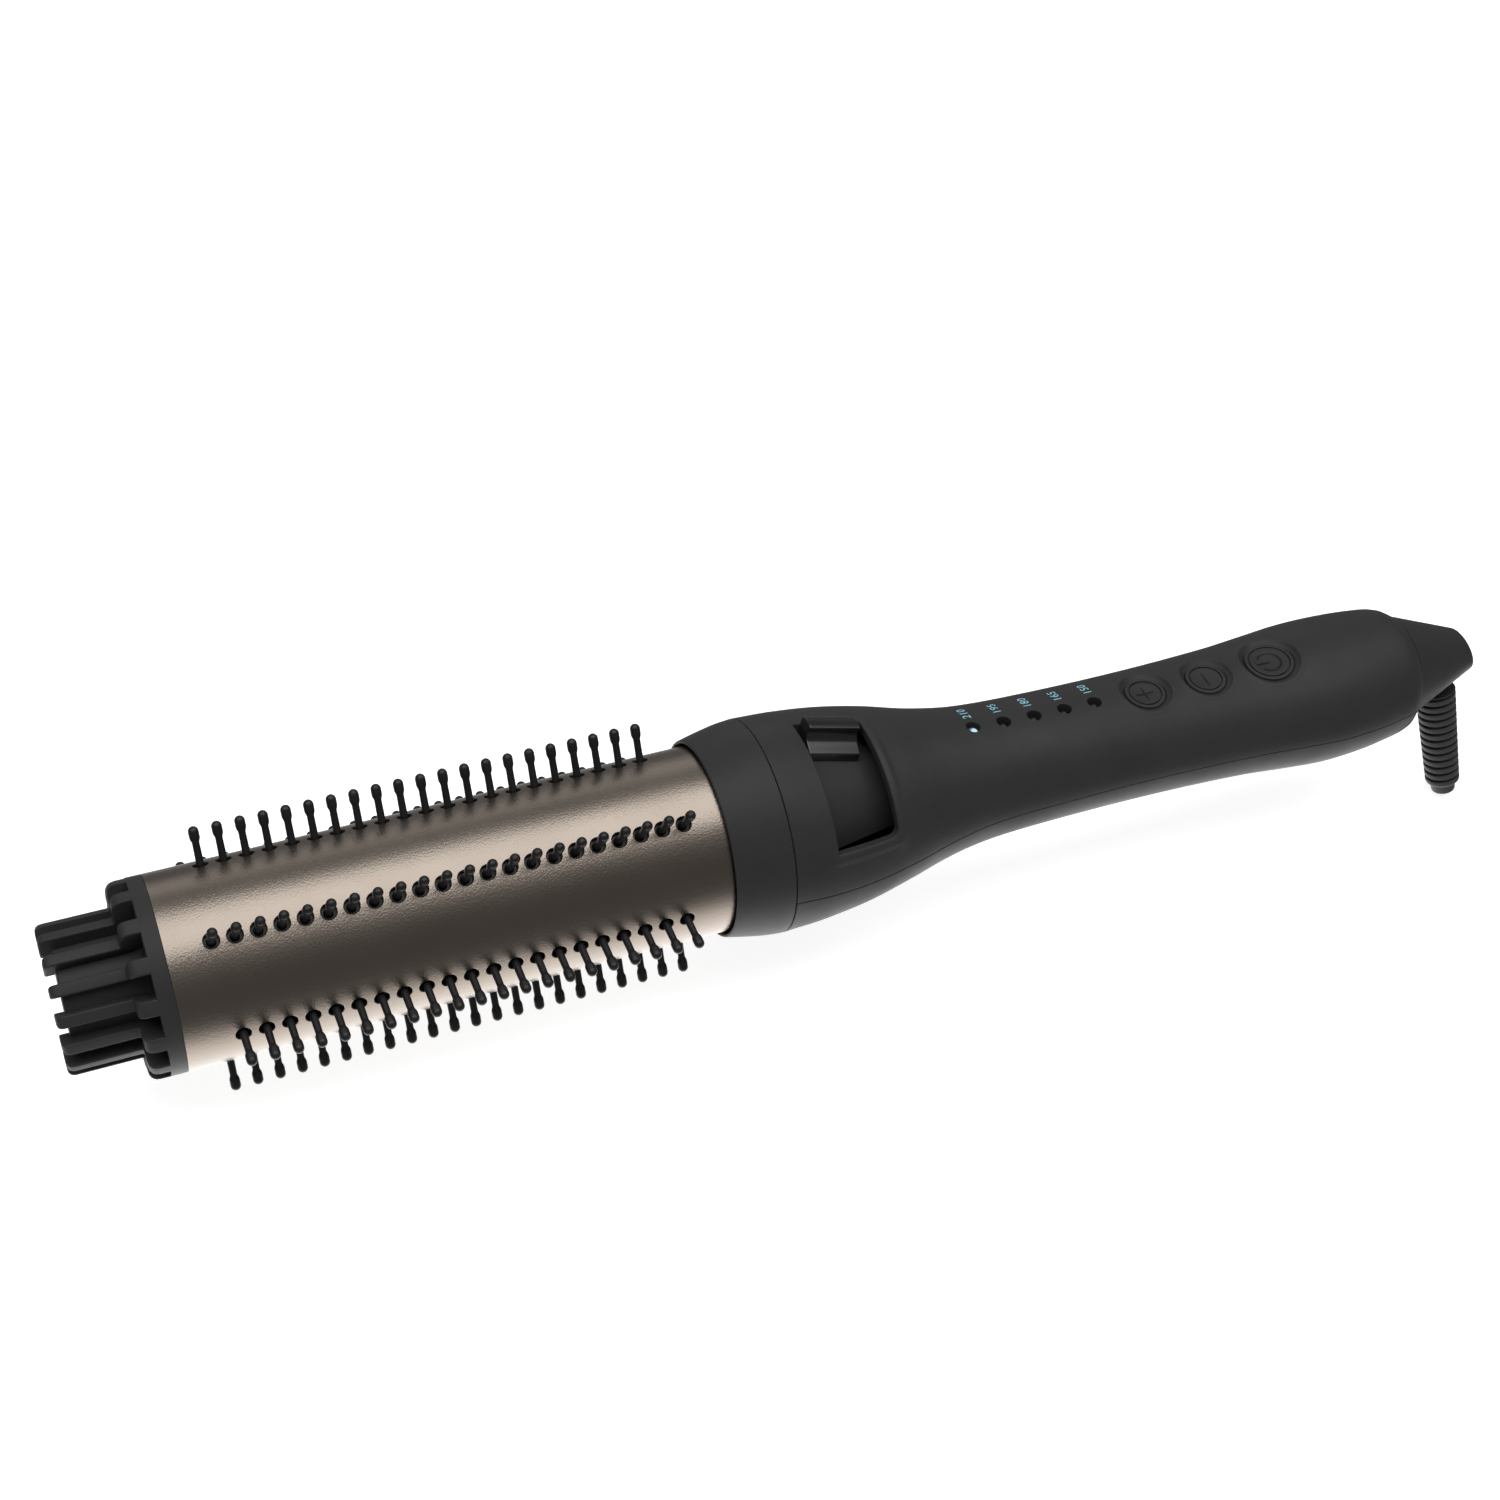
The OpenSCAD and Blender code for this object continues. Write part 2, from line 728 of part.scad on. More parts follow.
module bottom_housing() {
    color([0.2, 0.2, 0.2])
    difference() {
        union() {
            difference() {
                half_handle(-1, 0, 0, handle_len, skin_stations, skin_steps, 0);
                half_handle(-1, shell_wall, -0.001, handle_len - tail_wall, core_stations, core_steps, 1);
            }
            for (x = screw_x) screw_boss(x, -1);
            for (y = bracket_post_y)
                translate([bracket_x + bracket_t / 2, y, -12])
                    cylinder(r = 2, h = 12 + bracket_low, $fn = 24);
            for (x = board_post_x) {
                depth = outline_at(x - seam_x, 3) - shell_wall / 2;
                translate([x, 0, -depth]) cylinder(r = 2.4, h = depth + board_z, $fn = 24);
            }
        }
        along_x(tail_x - 6) cylinder(r = neck_r + turn_fit, h = 8);
        for (x = screw_x) {
            translate([x, 0, -30]) cylinder(r = screw_shank_r + 0.25, h = 31, $fn = 24);
            translate([x, 0, -30]) cylinder(r = screw_head_r + 0.2, h = 30 - 8, $fn = 32);
        }
        for (y = bracket_post_y)
            translate([bracket_x + bracket_t / 2, y, -11.5]) cylinder(r = small_pilot_r, h = 4, $fn = 24);
        for (x = board_post_x)
            translate([x, 0, board_z - 5]) cylinder(r = small_pilot_r, h = 6, $fn = 24);
    }
}

module housing_screws() {
    color([0.6, 0.6, 0.63])
    for (x = screw_x)
        translate([x, 0, -8]) {
            translate([0, 0, -screw_head_t]) cylinder(r = screw_head_r, h = screw_head_t, $fn = 32);
            cylinder(r = screw_shank_r, h = 15, $fn = 24);
        }
}

// ---- Inside the handle ----

module shaft_bracket() {
    color([0.75, 0.72, 0.62])
    difference() {
        translate([bracket_x, -bracket_half, bracket_low])
            cube([bracket_t, 2 * bracket_half, bracket_high - bracket_low]);
        along_x(bracket_x - 1) cylinder(r = shaft_r + turn_fit, h = bracket_t + 2);
        for (y = bracket_post_y)
            translate([bracket_x + bracket_t / 2, y, bracket_low - 2])
                cylinder(r = small_hole_r, h = bracket_high - bracket_low + 4, $fn = 24);
    }
}

module bracket_screws() {
    length = 17;
    color([0.6, 0.6, 0.63])
    for (y = bracket_post_y)
        translate([bracket_x + bracket_t / 2, y, bracket_high - length]) {
            cylinder(r = small_screw_r, h = length, $fn = 24);
            translate([0, 0, length]) cylinder(r = small_head_r, h = small_head_t, $fn = 24);
        }
}

module detent_spring() {
    y0 = hub_r + play;
    x0 = web_x + web_t + 2;
    leaf_w = 6;
    color([0.8, 0.75, 0.6]) {
        translate([bracket_x - 0.5, y0, -leaf_w / 2]) cube([0.5, 4, leaf_w]);
        translate([x0, y0, -leaf_w / 2]) cube([bracket_x - x0, 0.4, leaf_w]);
    }
}

module circuit_board() {
    color([0.1, 0.35, 0.18])
    difference() {
        translate([board_x0, -board_w / 2, board_z]) cube([board_x1 - board_x0, board_w, board_t]);
        for (x = board_post_x)
            translate([x, 0, board_z - 1]) cylinder(r = small_hole_r, h = 4, $fn = 24);
    }
}

module board_screws() {
    color([0.6, 0.6, 0.63])
    for (x = board_post_x)
        translate([x, 0, board_z - 4]) {
            cylinder(r = small_screw_r, h = 4 + board_t, $fn = 24);
            translate([0, 0, 4 + board_t]) cylinder(r = small_head_r, h = small_head_t, $fn = 24);
        }
}

// Power parts under the board: capacitor, relay and voltage regulator
module power_parts() {
    relay = [12, 8, 6];
    capacitor_r = 3.6;
    regulator = [6, 8, 4.5];
    color([0.15, 0.15, 0.4]) {
        translate([board_x0 + 22, -relay[1] / 2, board_z - relay[2]]) cube(relay);
        translate([board_x0 + 46, 0, board_z - capacitor_r])
            rotate([0, 90, 0]) cylinder(r = capacitor_r, h = 13, $fn = 32);
        translate([board_x0 + 64, -regulator[1] / 2, board_z - regulator[2]]) cube(regulator);
    }
}

module indicator(k) {
    x = led_x + k * led_pitch;
    top = outline_at(x - seam_x, 2) - 0.9;
    r = led_hole_d / 2 - 0.1;
    color(k == 0 ? [0.75, 0.92, 1] : [0.15, 0.15, 0.17])
    translate([x, 0, board_top]) {
        cylinder(r = r, h = top - board_top - r * 0.6, $fn = 32);
        translate([0, 0, top - board_top - r]) sphere(r = r, $fn = 32);
    }
}

module tact_switch(k) {
    color([0.1, 0.1, 0.1])
    translate([button_x[k], 0, board_top]) {
        translate([-3, -3, 0]) cube([6, 6, switch_h]);
        cylinder(r = 1.7, h = switch_h + plunger_h, $fn = 24);
    }
}

module button(k) {
    r = button_r[k];
    top = outline_at(button_x[k] - seam_x, 2) - bowl_depth + 0.3;
    foot = board_top + switch_h + plunger_h + 0.1;
    under = outline_at(button_x[k] - seam_x, 2) - bowl_depth - 1 - 0.1;
    groove = 0.35;
    color([0.16, 0.16, 0.17])
    translate([button_x[k], 0, 0])
    difference() {
        union() {
            translate([0, 0, under - flange_t]) cylinder(r = r + flange_more, h = flange_t);
            translate([0, 0, under - flange_t]) cylinder(r = r, h = top - under + flange_t);
            translate([0, 0, foot + button_travel]) cylinder(r = 2, h = top - foot - button_travel - 0.5, $fn = 32);
        }
        translate([0, 0, top - groove])
            difference() {
                cylinder(r = r - 0.8, h = 1);
                translate([0, 0, -1]) cylinder(r = r - 1.1, h = 3);
            }
        translate([0, 0, top - groove]) symbol(k);
    }
}

// Marks sunk in the buttons: plus, minus and the usual power sign
module symbol(k) {
    line = 0.5;
    arm = 3.8;
    arc_r = 2.6;
    if (k < 2) translate([-line / 2, -arm / 2, 0]) cube([line, arm, 1]);
    if (k == 0) translate([-arm / 2, -line / 2, 0]) cube([arm, line, 1]);
    if (k == 2) {
        difference() {
            cylinder(r = arc_r, h = 1, $fn = 32);
            translate([0, 0, -1]) cylinder(r = arc_r - line, h = 3, $fn = 32);
            translate([-3, -1, -1]) cube([3, 2, 3]);
        }
        translate([-2.9, -line / 2, 0]) cube([2.9, line, 1]);
    }
}

module supply_leads() {
    color([0.7, 0.2, 0.2])
    for (y = [-4.6, 4.6])
        wire_run([
            [board_x1 - 6, y, board_z - 0.95],
            [board_x1 + 1, y, -4],
            [tail_x - 15, y, -6.6]
        ], 0.6);
}

// ---- Swivelling cord outlet ----

module contact_block() {
    x0 = tail_x - 15;
    color([0.85, 0.83, 0.75])
    translate([x0, -6, -11]) cube([7.4, 12, 3.6]);
}

module contact_springs() {
    color([0.85, 0.6, 0.35])
    for (x = ring_x)
        translate([x + 0.3, -5, -7.4]) {
            cube([1.4, 10, 0.4]);
            translate([0, 4, 0]) cube([1.4, 2, 7.4 - ring_r - play]);
        }
}

module slip_rings() {
    color([0.85, 0.65, 0.3])
    for (x = ring_x)
        difference() {
            along_x(x) cylinder(r = ring_r, h = ring_w);
            along_x(x - 1) cylinder(r = ring_core_r, h = ring_w + 2);
        }
}

module swivel_neck() {
    color([0.25, 0.25, 0.27])
    difference() {
        union() {
            along_x(tail_x - 15) cylinder(r = ring_core_r, h = 9);
            along_x(tail_x - tail_wall - play - 2.6) cylinder(r = flange_r, h = 2.6);
            along_x(tail_x - tail_wall - 1) cylinder(r = neck_r, h = tail_wall + 7.2);
        }
        along_x(tail_x - 16) cylinder(r = 3, h = 40);
    }
}

module swivel_cone() {
    tip = cone_x0 + cone_len;
    slot_w = 2 * (relief_neck_r + play);
    color([0.2, 0.2, 0.2])
    rotate([-outlet_roll, 0, 0])
    difference() {
        along_x(cone_x0)
            cylinder(r1 = cone_r0, r2 = cone_r0 - cone_slope * (cone_len + 4), h = cone_len + 4, $fn = 96);
        translate([tip, 0, 0]) rotate([0, 90 + cone_tilt, 0])
            translate([-30, -30, 0]) cube([60, 60, 30]);
        along_x(cone_x0 - 1) cylinder(r = neck_r + 0.02, h = 7);
        along_x(cone_x0) cylinder(r = ball_r + 0.15, h = pivot_x - cone_x0);
        translate([pivot_x, 0, 0]) sphere(r = socket_r);
        translate([pivot_x - relief_neck_r - play, -slot_w / 2, -20]) cube([6.2, slot_w, 20]);
        translate([pivot_x + 6.2 - relief_neck_r - play, 0, -20]) cylinder(d = slot_w, h = 20);
    }
}

module relief_profile() {
    groove_w = 0.55;
    groove_d = 0.75;
    first = relief_start + 0.6;
    fall = (relief_top_r - relief_end_r) / (relief_end - relief_start);
    bore = cord_hole_d / 2;
    open_angle = -acos(bore / ball_r);
    neck_angle = acos(relief_neck_r / ball_r);
    polygon(concat(
        arc(0, 0, ball_r, open_angle, neck_angle, 20),
        [[relief_neck_r, relief_start], [relief_top_r - 0.5, relief_start], [relief_top_r, relief_start + 0.4]],
        [
            for (k = [0:rib_count - 1])
                let (s = first + k * rib_pitch, r = relief_top_r - fall * (s - relief_start))
                each [[r, s - groove_w / 2], [r - groove_d, s - groove_w / 4],
                      [r - groove_d, s + groove_w / 4], [r, s + groove_w / 2]]
        ],
        [[relief_end_r, relief_end - 0.6], [relief_end_r - 0.7, relief_end], [nose_r, relief_end]],
        [[nose_r, nose_end - 0.3], [nose_r - 0.2, nose_end], [bore, nose_end]]
    ));
}

module strain_relief() {
    color([0.25, 0.25, 0.25])
    rotate([-outlet_roll, 0, 0])
    translate([pivot_x, 0, 0])
    rotate([0, -relief_lean, 0])
    rotate([180, 0, 0])
    difference() {
        rotate_extrude() relief_profile();
        rotate([0, -90 + relief_lean, 0]) cylinder(d = cord_hole_d, h = 10);
    }
}

// ---- Pieces ----

tip_cap();
tip_plug();
barrel_tube();
front_guide();
rear_guide();
for (i = [0:row_count - 1])
    bristle_row(i);
cam_shaft();
front_cam();
rear_cam();
lever_shield();
thumb_lever();
lever_screw();
for (k = [0:len(HEATERS) - 1])
    heater_bar(k);
temperature_sensor();
thermal_fuse();
heater_leads();
barrel_mount();
collar();
top_housing();
bottom_housing();
shaft_bracket();
bracket_screws();
detent_spring();
circuit_board();
power_parts();
board_screws();
for (k = [0:led_count - 1])
    indicator(k);
for (k = [0:2])
    tact_switch(k);
for (k = [0:2])
    button(k);
supply_leads();
housing_screws();
contact_block();
contact_springs();
swivel_neck();
slip_rings();
swivel_cone();
strain_relief();
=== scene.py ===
"""Looks of a heated round brush whose bristles draw back into the barrel."""

import logging
import math
from collections.abc import Callable, Iterable, Sequence
from dataclasses import dataclass
from enum import Enum

import bpy
from mathutils import Matrix, Vector
from mathutils.geometry import delaunay_2d_cdt


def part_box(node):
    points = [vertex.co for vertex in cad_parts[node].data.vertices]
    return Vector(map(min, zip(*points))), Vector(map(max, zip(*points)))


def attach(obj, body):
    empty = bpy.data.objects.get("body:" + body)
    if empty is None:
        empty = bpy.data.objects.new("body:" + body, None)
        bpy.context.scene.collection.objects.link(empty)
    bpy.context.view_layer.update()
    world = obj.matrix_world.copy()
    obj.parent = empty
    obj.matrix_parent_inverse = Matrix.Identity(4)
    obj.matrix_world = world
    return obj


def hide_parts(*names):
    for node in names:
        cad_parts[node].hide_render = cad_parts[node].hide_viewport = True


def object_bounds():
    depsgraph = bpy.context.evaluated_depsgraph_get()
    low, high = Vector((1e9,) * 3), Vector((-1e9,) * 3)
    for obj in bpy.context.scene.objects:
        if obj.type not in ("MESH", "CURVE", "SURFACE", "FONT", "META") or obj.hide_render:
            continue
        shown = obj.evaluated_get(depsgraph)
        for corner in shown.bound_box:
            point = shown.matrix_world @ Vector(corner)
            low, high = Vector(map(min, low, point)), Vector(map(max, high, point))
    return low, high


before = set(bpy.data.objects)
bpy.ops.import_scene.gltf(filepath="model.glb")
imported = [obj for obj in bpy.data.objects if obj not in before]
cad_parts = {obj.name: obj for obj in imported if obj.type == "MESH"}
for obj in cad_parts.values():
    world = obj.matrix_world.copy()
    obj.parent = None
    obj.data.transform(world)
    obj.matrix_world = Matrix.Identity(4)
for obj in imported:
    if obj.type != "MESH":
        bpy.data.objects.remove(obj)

CAD_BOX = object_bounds()
MM = 0.001
TURN = math.tau
RIGHT = math.pi / 2
# Angle round the brush of its underside
DOWN = 3 * RIGHT
# Anything shorter than this counts as nothing
CLOSE = 1e-5
# Edges that turn by more degrees than this stay sharp
CREASE = 32.0
# Points round a large turned piece
FINE = 192
log = logging.getLogger("brush")

Pair = tuple[float, float]
Triple = tuple[float, float, float]
Colour = Triple


# ---- Finishes ----


class Slot(Enum):
    """The record's material slots."""

    BLACK = "matte_black_plastic"
    BRONZE = "bronze_metal"
    BRISTLE = "bristle_plastic"
    GLOSS = "gloss_black_plastic"
    HEAT = "heat_plastic"
    STEEL = "steel"
    FILM = "heater_film"
    SENSOR = "sensor_red"
    WHITE = "white_plastic"
    BOARD = "board_green"
    PART = "part_blue"
    LEAD = "lead_red"
    BRASS = "brass"
    LIT = "lit_lens"
    DARK = "dark_lens"
    RELIEF = "relief_rubber"


class NodeTree:
    """Short ways to add and join the nodes of one material."""

    NOISE_RANGE: Pair = (0.3, 0.7)

    def __init__(self, material: bpy.types.Material) -> None:
        """Empties the material's tree and adds its output.

        Args:
            material: The material to fill.
        """
        material.use_nodes = True
        self.tree = material.node_tree
        self.tree.nodes.clear()
        self.out = self.add("ShaderNodeOutputMaterial")

    def add(self, kind: str, **settings: object) -> bpy.types.Node:
        """Adds a node.

        Args:
            kind: Blender's name of the node type.
            settings: Properties to set on the node.

        Returns:
            The new node.
        """
        node = self.tree.nodes.new(kind)
        for name, value in settings.items():
            setattr(node, name, value)
        return node

    def join(self, source: bpy.types.NodeSocket, target: bpy.types.NodeSocket) -> None:
        """Links an output to an input."""
        self.tree.links.new(source, target)

    def noise(
        self, place: bpy.types.NodeSocket, scale: float, detail: float, rough: float = 0.5
    ) -> bpy.types.NodeSocket:
        """Adds a noise texture.

        Args:
            place: Socket with the coordinates.
            scale: Cells in a metre.
            detail: Octaves of finer noise.
            rough: Strength of the finer noise.

        Returns:
            The socket with the noise.
        """
        node = self.add("ShaderNodeTexNoise")
        node.inputs["Scale"].default_value = scale
        node.inputs["Detail"].default_value = detail
        node.inputs["Roughness"].default_value = rough
        self.join(place, node.inputs["Vector"])
        return node.outputs["Fac"]

    def spread(self, source: bpy.types.NodeSocket, low: float, high: float) -> bpy.types.NodeSocket:
        """Maps the middle of a noise's range to a low and a high value.

        Args:
            source: Socket with the noise.
            low: Value at the noise's low side.
            high: Value at the noise's high side.

        Returns:
            The mapped socket.
        """
        node = self.add("ShaderNodeMapRange")
        node.inputs["From Min"].default_value = self.NOISE_RANGE[0]
        node.inputs["From Max"].default_value = self.NOISE_RANGE[1]
        node.inputs["To Min"].default_value = low
        node.inputs["To Max"].default_value = high
        self.join(source, node.inputs["Value"])
        return node.outputs["Result"]

    def tone(
        self, source: bpy.types.NodeSocket, colour: Colour, low: float, high: float
    ) -> bpy.types.NodeSocket:
        """Varies a colour with a noise.

        Args:
            source: Socket with the noise.
            colour: The plain colour.
            low: Factor of the colour at the noise's low side.
            high: Factor of the colour at the noise's high side.

        Returns:
            The socket with the varied colour.
        """
        node = self.add("ShaderNodeMix", data_type="RGBA")
        first, second = (socket for socket in node.inputs[4:] if socket.type == "RGBA")
        first.default_value = (*[channel * low for channel in colour], 1)
        second.default_value = (*[min(1.0, channel * high) for channel in colour], 1)
        self.join(self.spread(source, 0, 1), node.inputs["Factor"])
        return next(socket for socket in node.outputs if socket.type == "RGBA")


class Look:
    """Anything that a piece can be finished with."""

    title: str

    def paint(self, nodes: NodeTree, place: bpy.types.NodeSocket, shader: bpy.types.Node) -> None:
        """Sets up the shader.

        Args:
            nodes: The material's nodes.
            place: Socket with the coordinates.
            shader: The shader to dress.
        """
        raise NotImplementedError

    def material(self) -> bpy.types.Material:
        """Makes the material, or finds it if it is made already.

        Returns:
            The material.
        """
        found = bpy.data.materials.get(self.title)
        if found:
            return found
        made = bpy.data.materials.new(self.title)
        nodes = NodeTree(made)
        place = nodes.add("ShaderNodeTexCoord").outputs["Object"]
        shader = nodes.add("ShaderNodeBsdfPrincipled")
        self.paint(nodes, place, shader)
        nodes.join(shader.outputs["BSDF"], nodes.out.inputs["Surface"])
        return made


@dataclass(frozen=True)
class Finish(Look):
    """A moulded, machined or coated surface with a fine grain, soft smudges and a slight mottle."""

    slot: Slot
    colour: Colour
    roughness: float
    metallic: float = 0.0
    mottle: float = 0.12
    mottle_scale: float = 120.0
    smudge: float = 0.06
    smudge_scale: float = 55.0
    grain_pitch: float = 0.25
    grain_depth: float = 0.01
    grain_strength: float = 0.6
    specular: float = 0.5
    coat: float = 0.0
    coat_roughness: float = 0.1

    @property
    def title(self) -> str:
        """Name of the material."""
        return self.slot.value + "_look"

    def paint(self, nodes: NodeTree, place: bpy.types.NodeSocket, shader: bpy.types.Node) -> None:
        """Sets the shader's plain values and joins the colour, roughness and grain to it.

        Args:
            nodes: The material's nodes.
            place: Socket with the coordinates.
            shader: The shader to dress.
        """
        shader.inputs["Metallic"].default_value = self.metallic
        shader.inputs["Specular IOR Level"].default_value = self.specular
        shader.inputs["Coat Weight"].default_value = self.coat
        shader.inputs["Coat Roughness"].default_value = self.coat_roughness
        patches = nodes.noise(place, self.mottle_scale, 4.0)
        colour = nodes.tone(patches, self.colour, 1 - self.mottle, 1 + self.mottle)
        nodes.join(colour, shader.inputs["Base Color"])
        smears = nodes.noise(place, self.smudge_scale, 5.0, 0.6)
        low, high = self.roughness - self.smudge, self.roughness + self.smudge
        nodes.join(nodes.spread(smears, low, high), shader.inputs["Roughness"])
        grain = nodes.noise(place, 1 / (self.grain_pitch * MM), 2.0, 0.6)
        bump = nodes.add("ShaderNodeBump")
        bump.inputs["Strength"].default_value = self.grain_strength
        bump.inputs["Distance"].default_value = self.grain_depth * MM
        nodes.join(grain, bump.inputs["Height"])
        nodes.join(bump.outputs["Normal"], shader.inputs["Normal"])


@dataclass(frozen=True)
class LampFinish(Finish):
    """A clear lens that glows from its middle."""

    glow: Colour = (0.55, 0.85, 1.0)
    strength: float = 4.0
    centre: Triple = (0.0, 0.0, 0.0)
    core: float = 0.4025
    reach: float = 1.15
    rest: float = 0.05

    def paint(self, nodes: NodeTree, place: bpy.types.NodeSocket, shader: bpy.types.Node) -> None:
        """Adds the glow to the plain lens.

        Args:
            nodes: The material's nodes.
            place: Socket with the coordinates.
            shader: The shader to dress.
        """
        super().paint(nodes, place, shader)
        away = nodes.add("ShaderNodeVectorMath", operation="DISTANCE")
        away.inputs[1].default_value = [value * MM for value in self.centre]
        nodes.join(place, away.inputs[0])
        fall = nodes.add("ShaderNodeMapRange", interpolation_type="SMOOTHSTEP")
        fall.inputs["From Min"].default_value = self.core * MM
        fall.inputs["From Max"].default_value = self.reach * MM
        fall.inputs["To Min"].default_value = self.strength
        fall.inputs["To Max"].default_value = self.strength * self.rest
        nodes.join(away.outputs["Value"], fall.inputs["Value"])
        shader.inputs["Emission Color"].default_value = (*self.glow, 1)
        nodes.join(fall.outputs["Result"], shader.inputs["Emission Strength"])


BLACK = Finish(Slot.BLACK, (0.027, 0.027, 0.0273), 0.5, mottle=0.05, grain_depth=0.005, specular=0.2)
BRONZE = Finish(
    Slot.BRONZE,
    (0.26, 0.222, 0.188),
    0.29,
    metallic=1.0,
    mottle=0.03,
    smudge=0.015,
    grain_pitch=0.4,
    grain_depth=0.085,
)
BRISTLE = Finish(Slot.BRISTLE, (0.011, 0.011, 0.012), 0.4, grain_depth=0.004, specular=0.35)
GLOSS = Finish(
    Slot.GLOSS, (0.01, 0.01, 0.011), 0.22, smudge=0.04, grain_depth=0.0004, specular=0.45, coat=0.3
)
HEAT = Finish(Slot.HEAT, (0.3, 0.27, 0.22), 0.55)
STEEL = Finish(Slot.STEEL, (0.55, 0.56, 0.58), 0.3, 1.0, grain_pitch=0.5)
FILM = Finish(Slot.FILM, (0.55, 0.35, 0.1), 0.35, mottle=0.2, coat=0.5)
SENSOR = Finish(Slot.SENSOR, (0.5, 0.06, 0.03), 0.35, coat=0.3)
WHITE = Finish(Slot.WHITE, (0.72, 0.71, 0.68), 0.45)
BOARD = Finish(Slot.BOARD, (0.02, 0.16, 0.06), 0.35, mottle=0.25, coat=0.5)
PART = Finish(Slot.PART, (0.03, 0.05, 0.2), 0.35, coat=0.3)
LEAD = Finish(Slot.LEAD, (0.45, 0.04, 0.03), 0.4)
BRASS = Finish(Slot.BRASS, (0.75, 0.55, 0.22), 0.28, 1.0, grain_pitch=0.5)
# DARK also colours the buttons' signs, where its darkness is painted shade for their sunk grooves.
DARK = Finish(Slot.DARK, (0.004, 0.004, 0.005), 0.35, grain_depth=0.002, specular=0.3)
RELIEF = Finish(Slot.RELIEF, (0.034, 0.034, 0.0345), 0.5, mottle=0.08, grain_depth=0.01, specular=0.4)


@dataclass(frozen=True)
class Ink(Look):
    """Flat printing ink, slightly worn."""

    title: str = "pale_blue_ink"
    colour: Colour = (0.3, 0.62, 0.75)
    worn: float = 0.75
    wear_scale: float = 2500.0
    roughness: Pair = (0.45, 0.6)

    def paint(self, nodes: NodeTree, place: bpy.types.NodeSocket, shader: bpy.types.Node) -> None:
        """Joins the worn colour and roughness to the shader.

        Args:
            nodes: The material's nodes.
            place: Socket with the coordinates.
            shader: The shader to dress.
        """
        wear = nodes.noise(place, self.wear_scale, 3.0)
        nodes.join(nodes.tone(wear, self.colour, self.worn, 1.0), shader.inputs["Base Color"])
        nodes.join(nodes.spread(wear, *self.roughness), shader.inputs["Roughness"])


# ---- Shape tools ----


def polar(x: float, radius: float, angle: float) -> Vector:
    """Point at a station, with its angle counted from the near side over the top."""
    return Vector((x, -radius * math.cos(angle), radius * math.sin(angle)))


def circle(count: int) -> list[float]:
    """Angles spread evenly round a circle."""
    return [TURN * k / count for k in range(count)]


def bell(away: float, spread: float) -> float:
    """Bell curve of height 1."""
    return math.exp(-((away / spread) ** 2))


def roll(angle: float) -> Matrix:
    """Turn about the brush's axis by an angle in degrees."""
    return Matrix.Rotation(-math.radians(angle), 4, "X")


def rounded(corners: Sequence[Triple], closed: bool = False, steps: int = 4) -> list[Pair]:
    """Rounds the corners of an outline.

    Args:
        corners: Points as (first, second, length cut from each side of the corner).
        closed: Whether the last corner joins the first.
        steps: Segments of each rounding.

    Returns:
        The points of the rounded outline.
    """
    count = len(corners)
    longest = 0.48
    found: list[Pair] = []
    for k, (x, y, cut) in enumerate(corners):
        at_end = not closed and k in (0, count - 1)
        if cut <= 0 or at_end:
            found.append((x, y))
            continue
        here = Vector((x, y))
        before = Vector(corners[k - 1][:2]) - here
        after = Vector(corners[(k + 1) % count][:2]) - here
        a = here + before.normalized() * min(cut, before.length * longest)
        b = here + after.normalized() * min(cut, after.length * longest)
        for step in range(steps + 1):
            t = step / steps
            point = a * (1 - t) ** 2 + here * 2 * t * (1 - t) + b * t * t
            found.append((point.x, point.y))
    return found


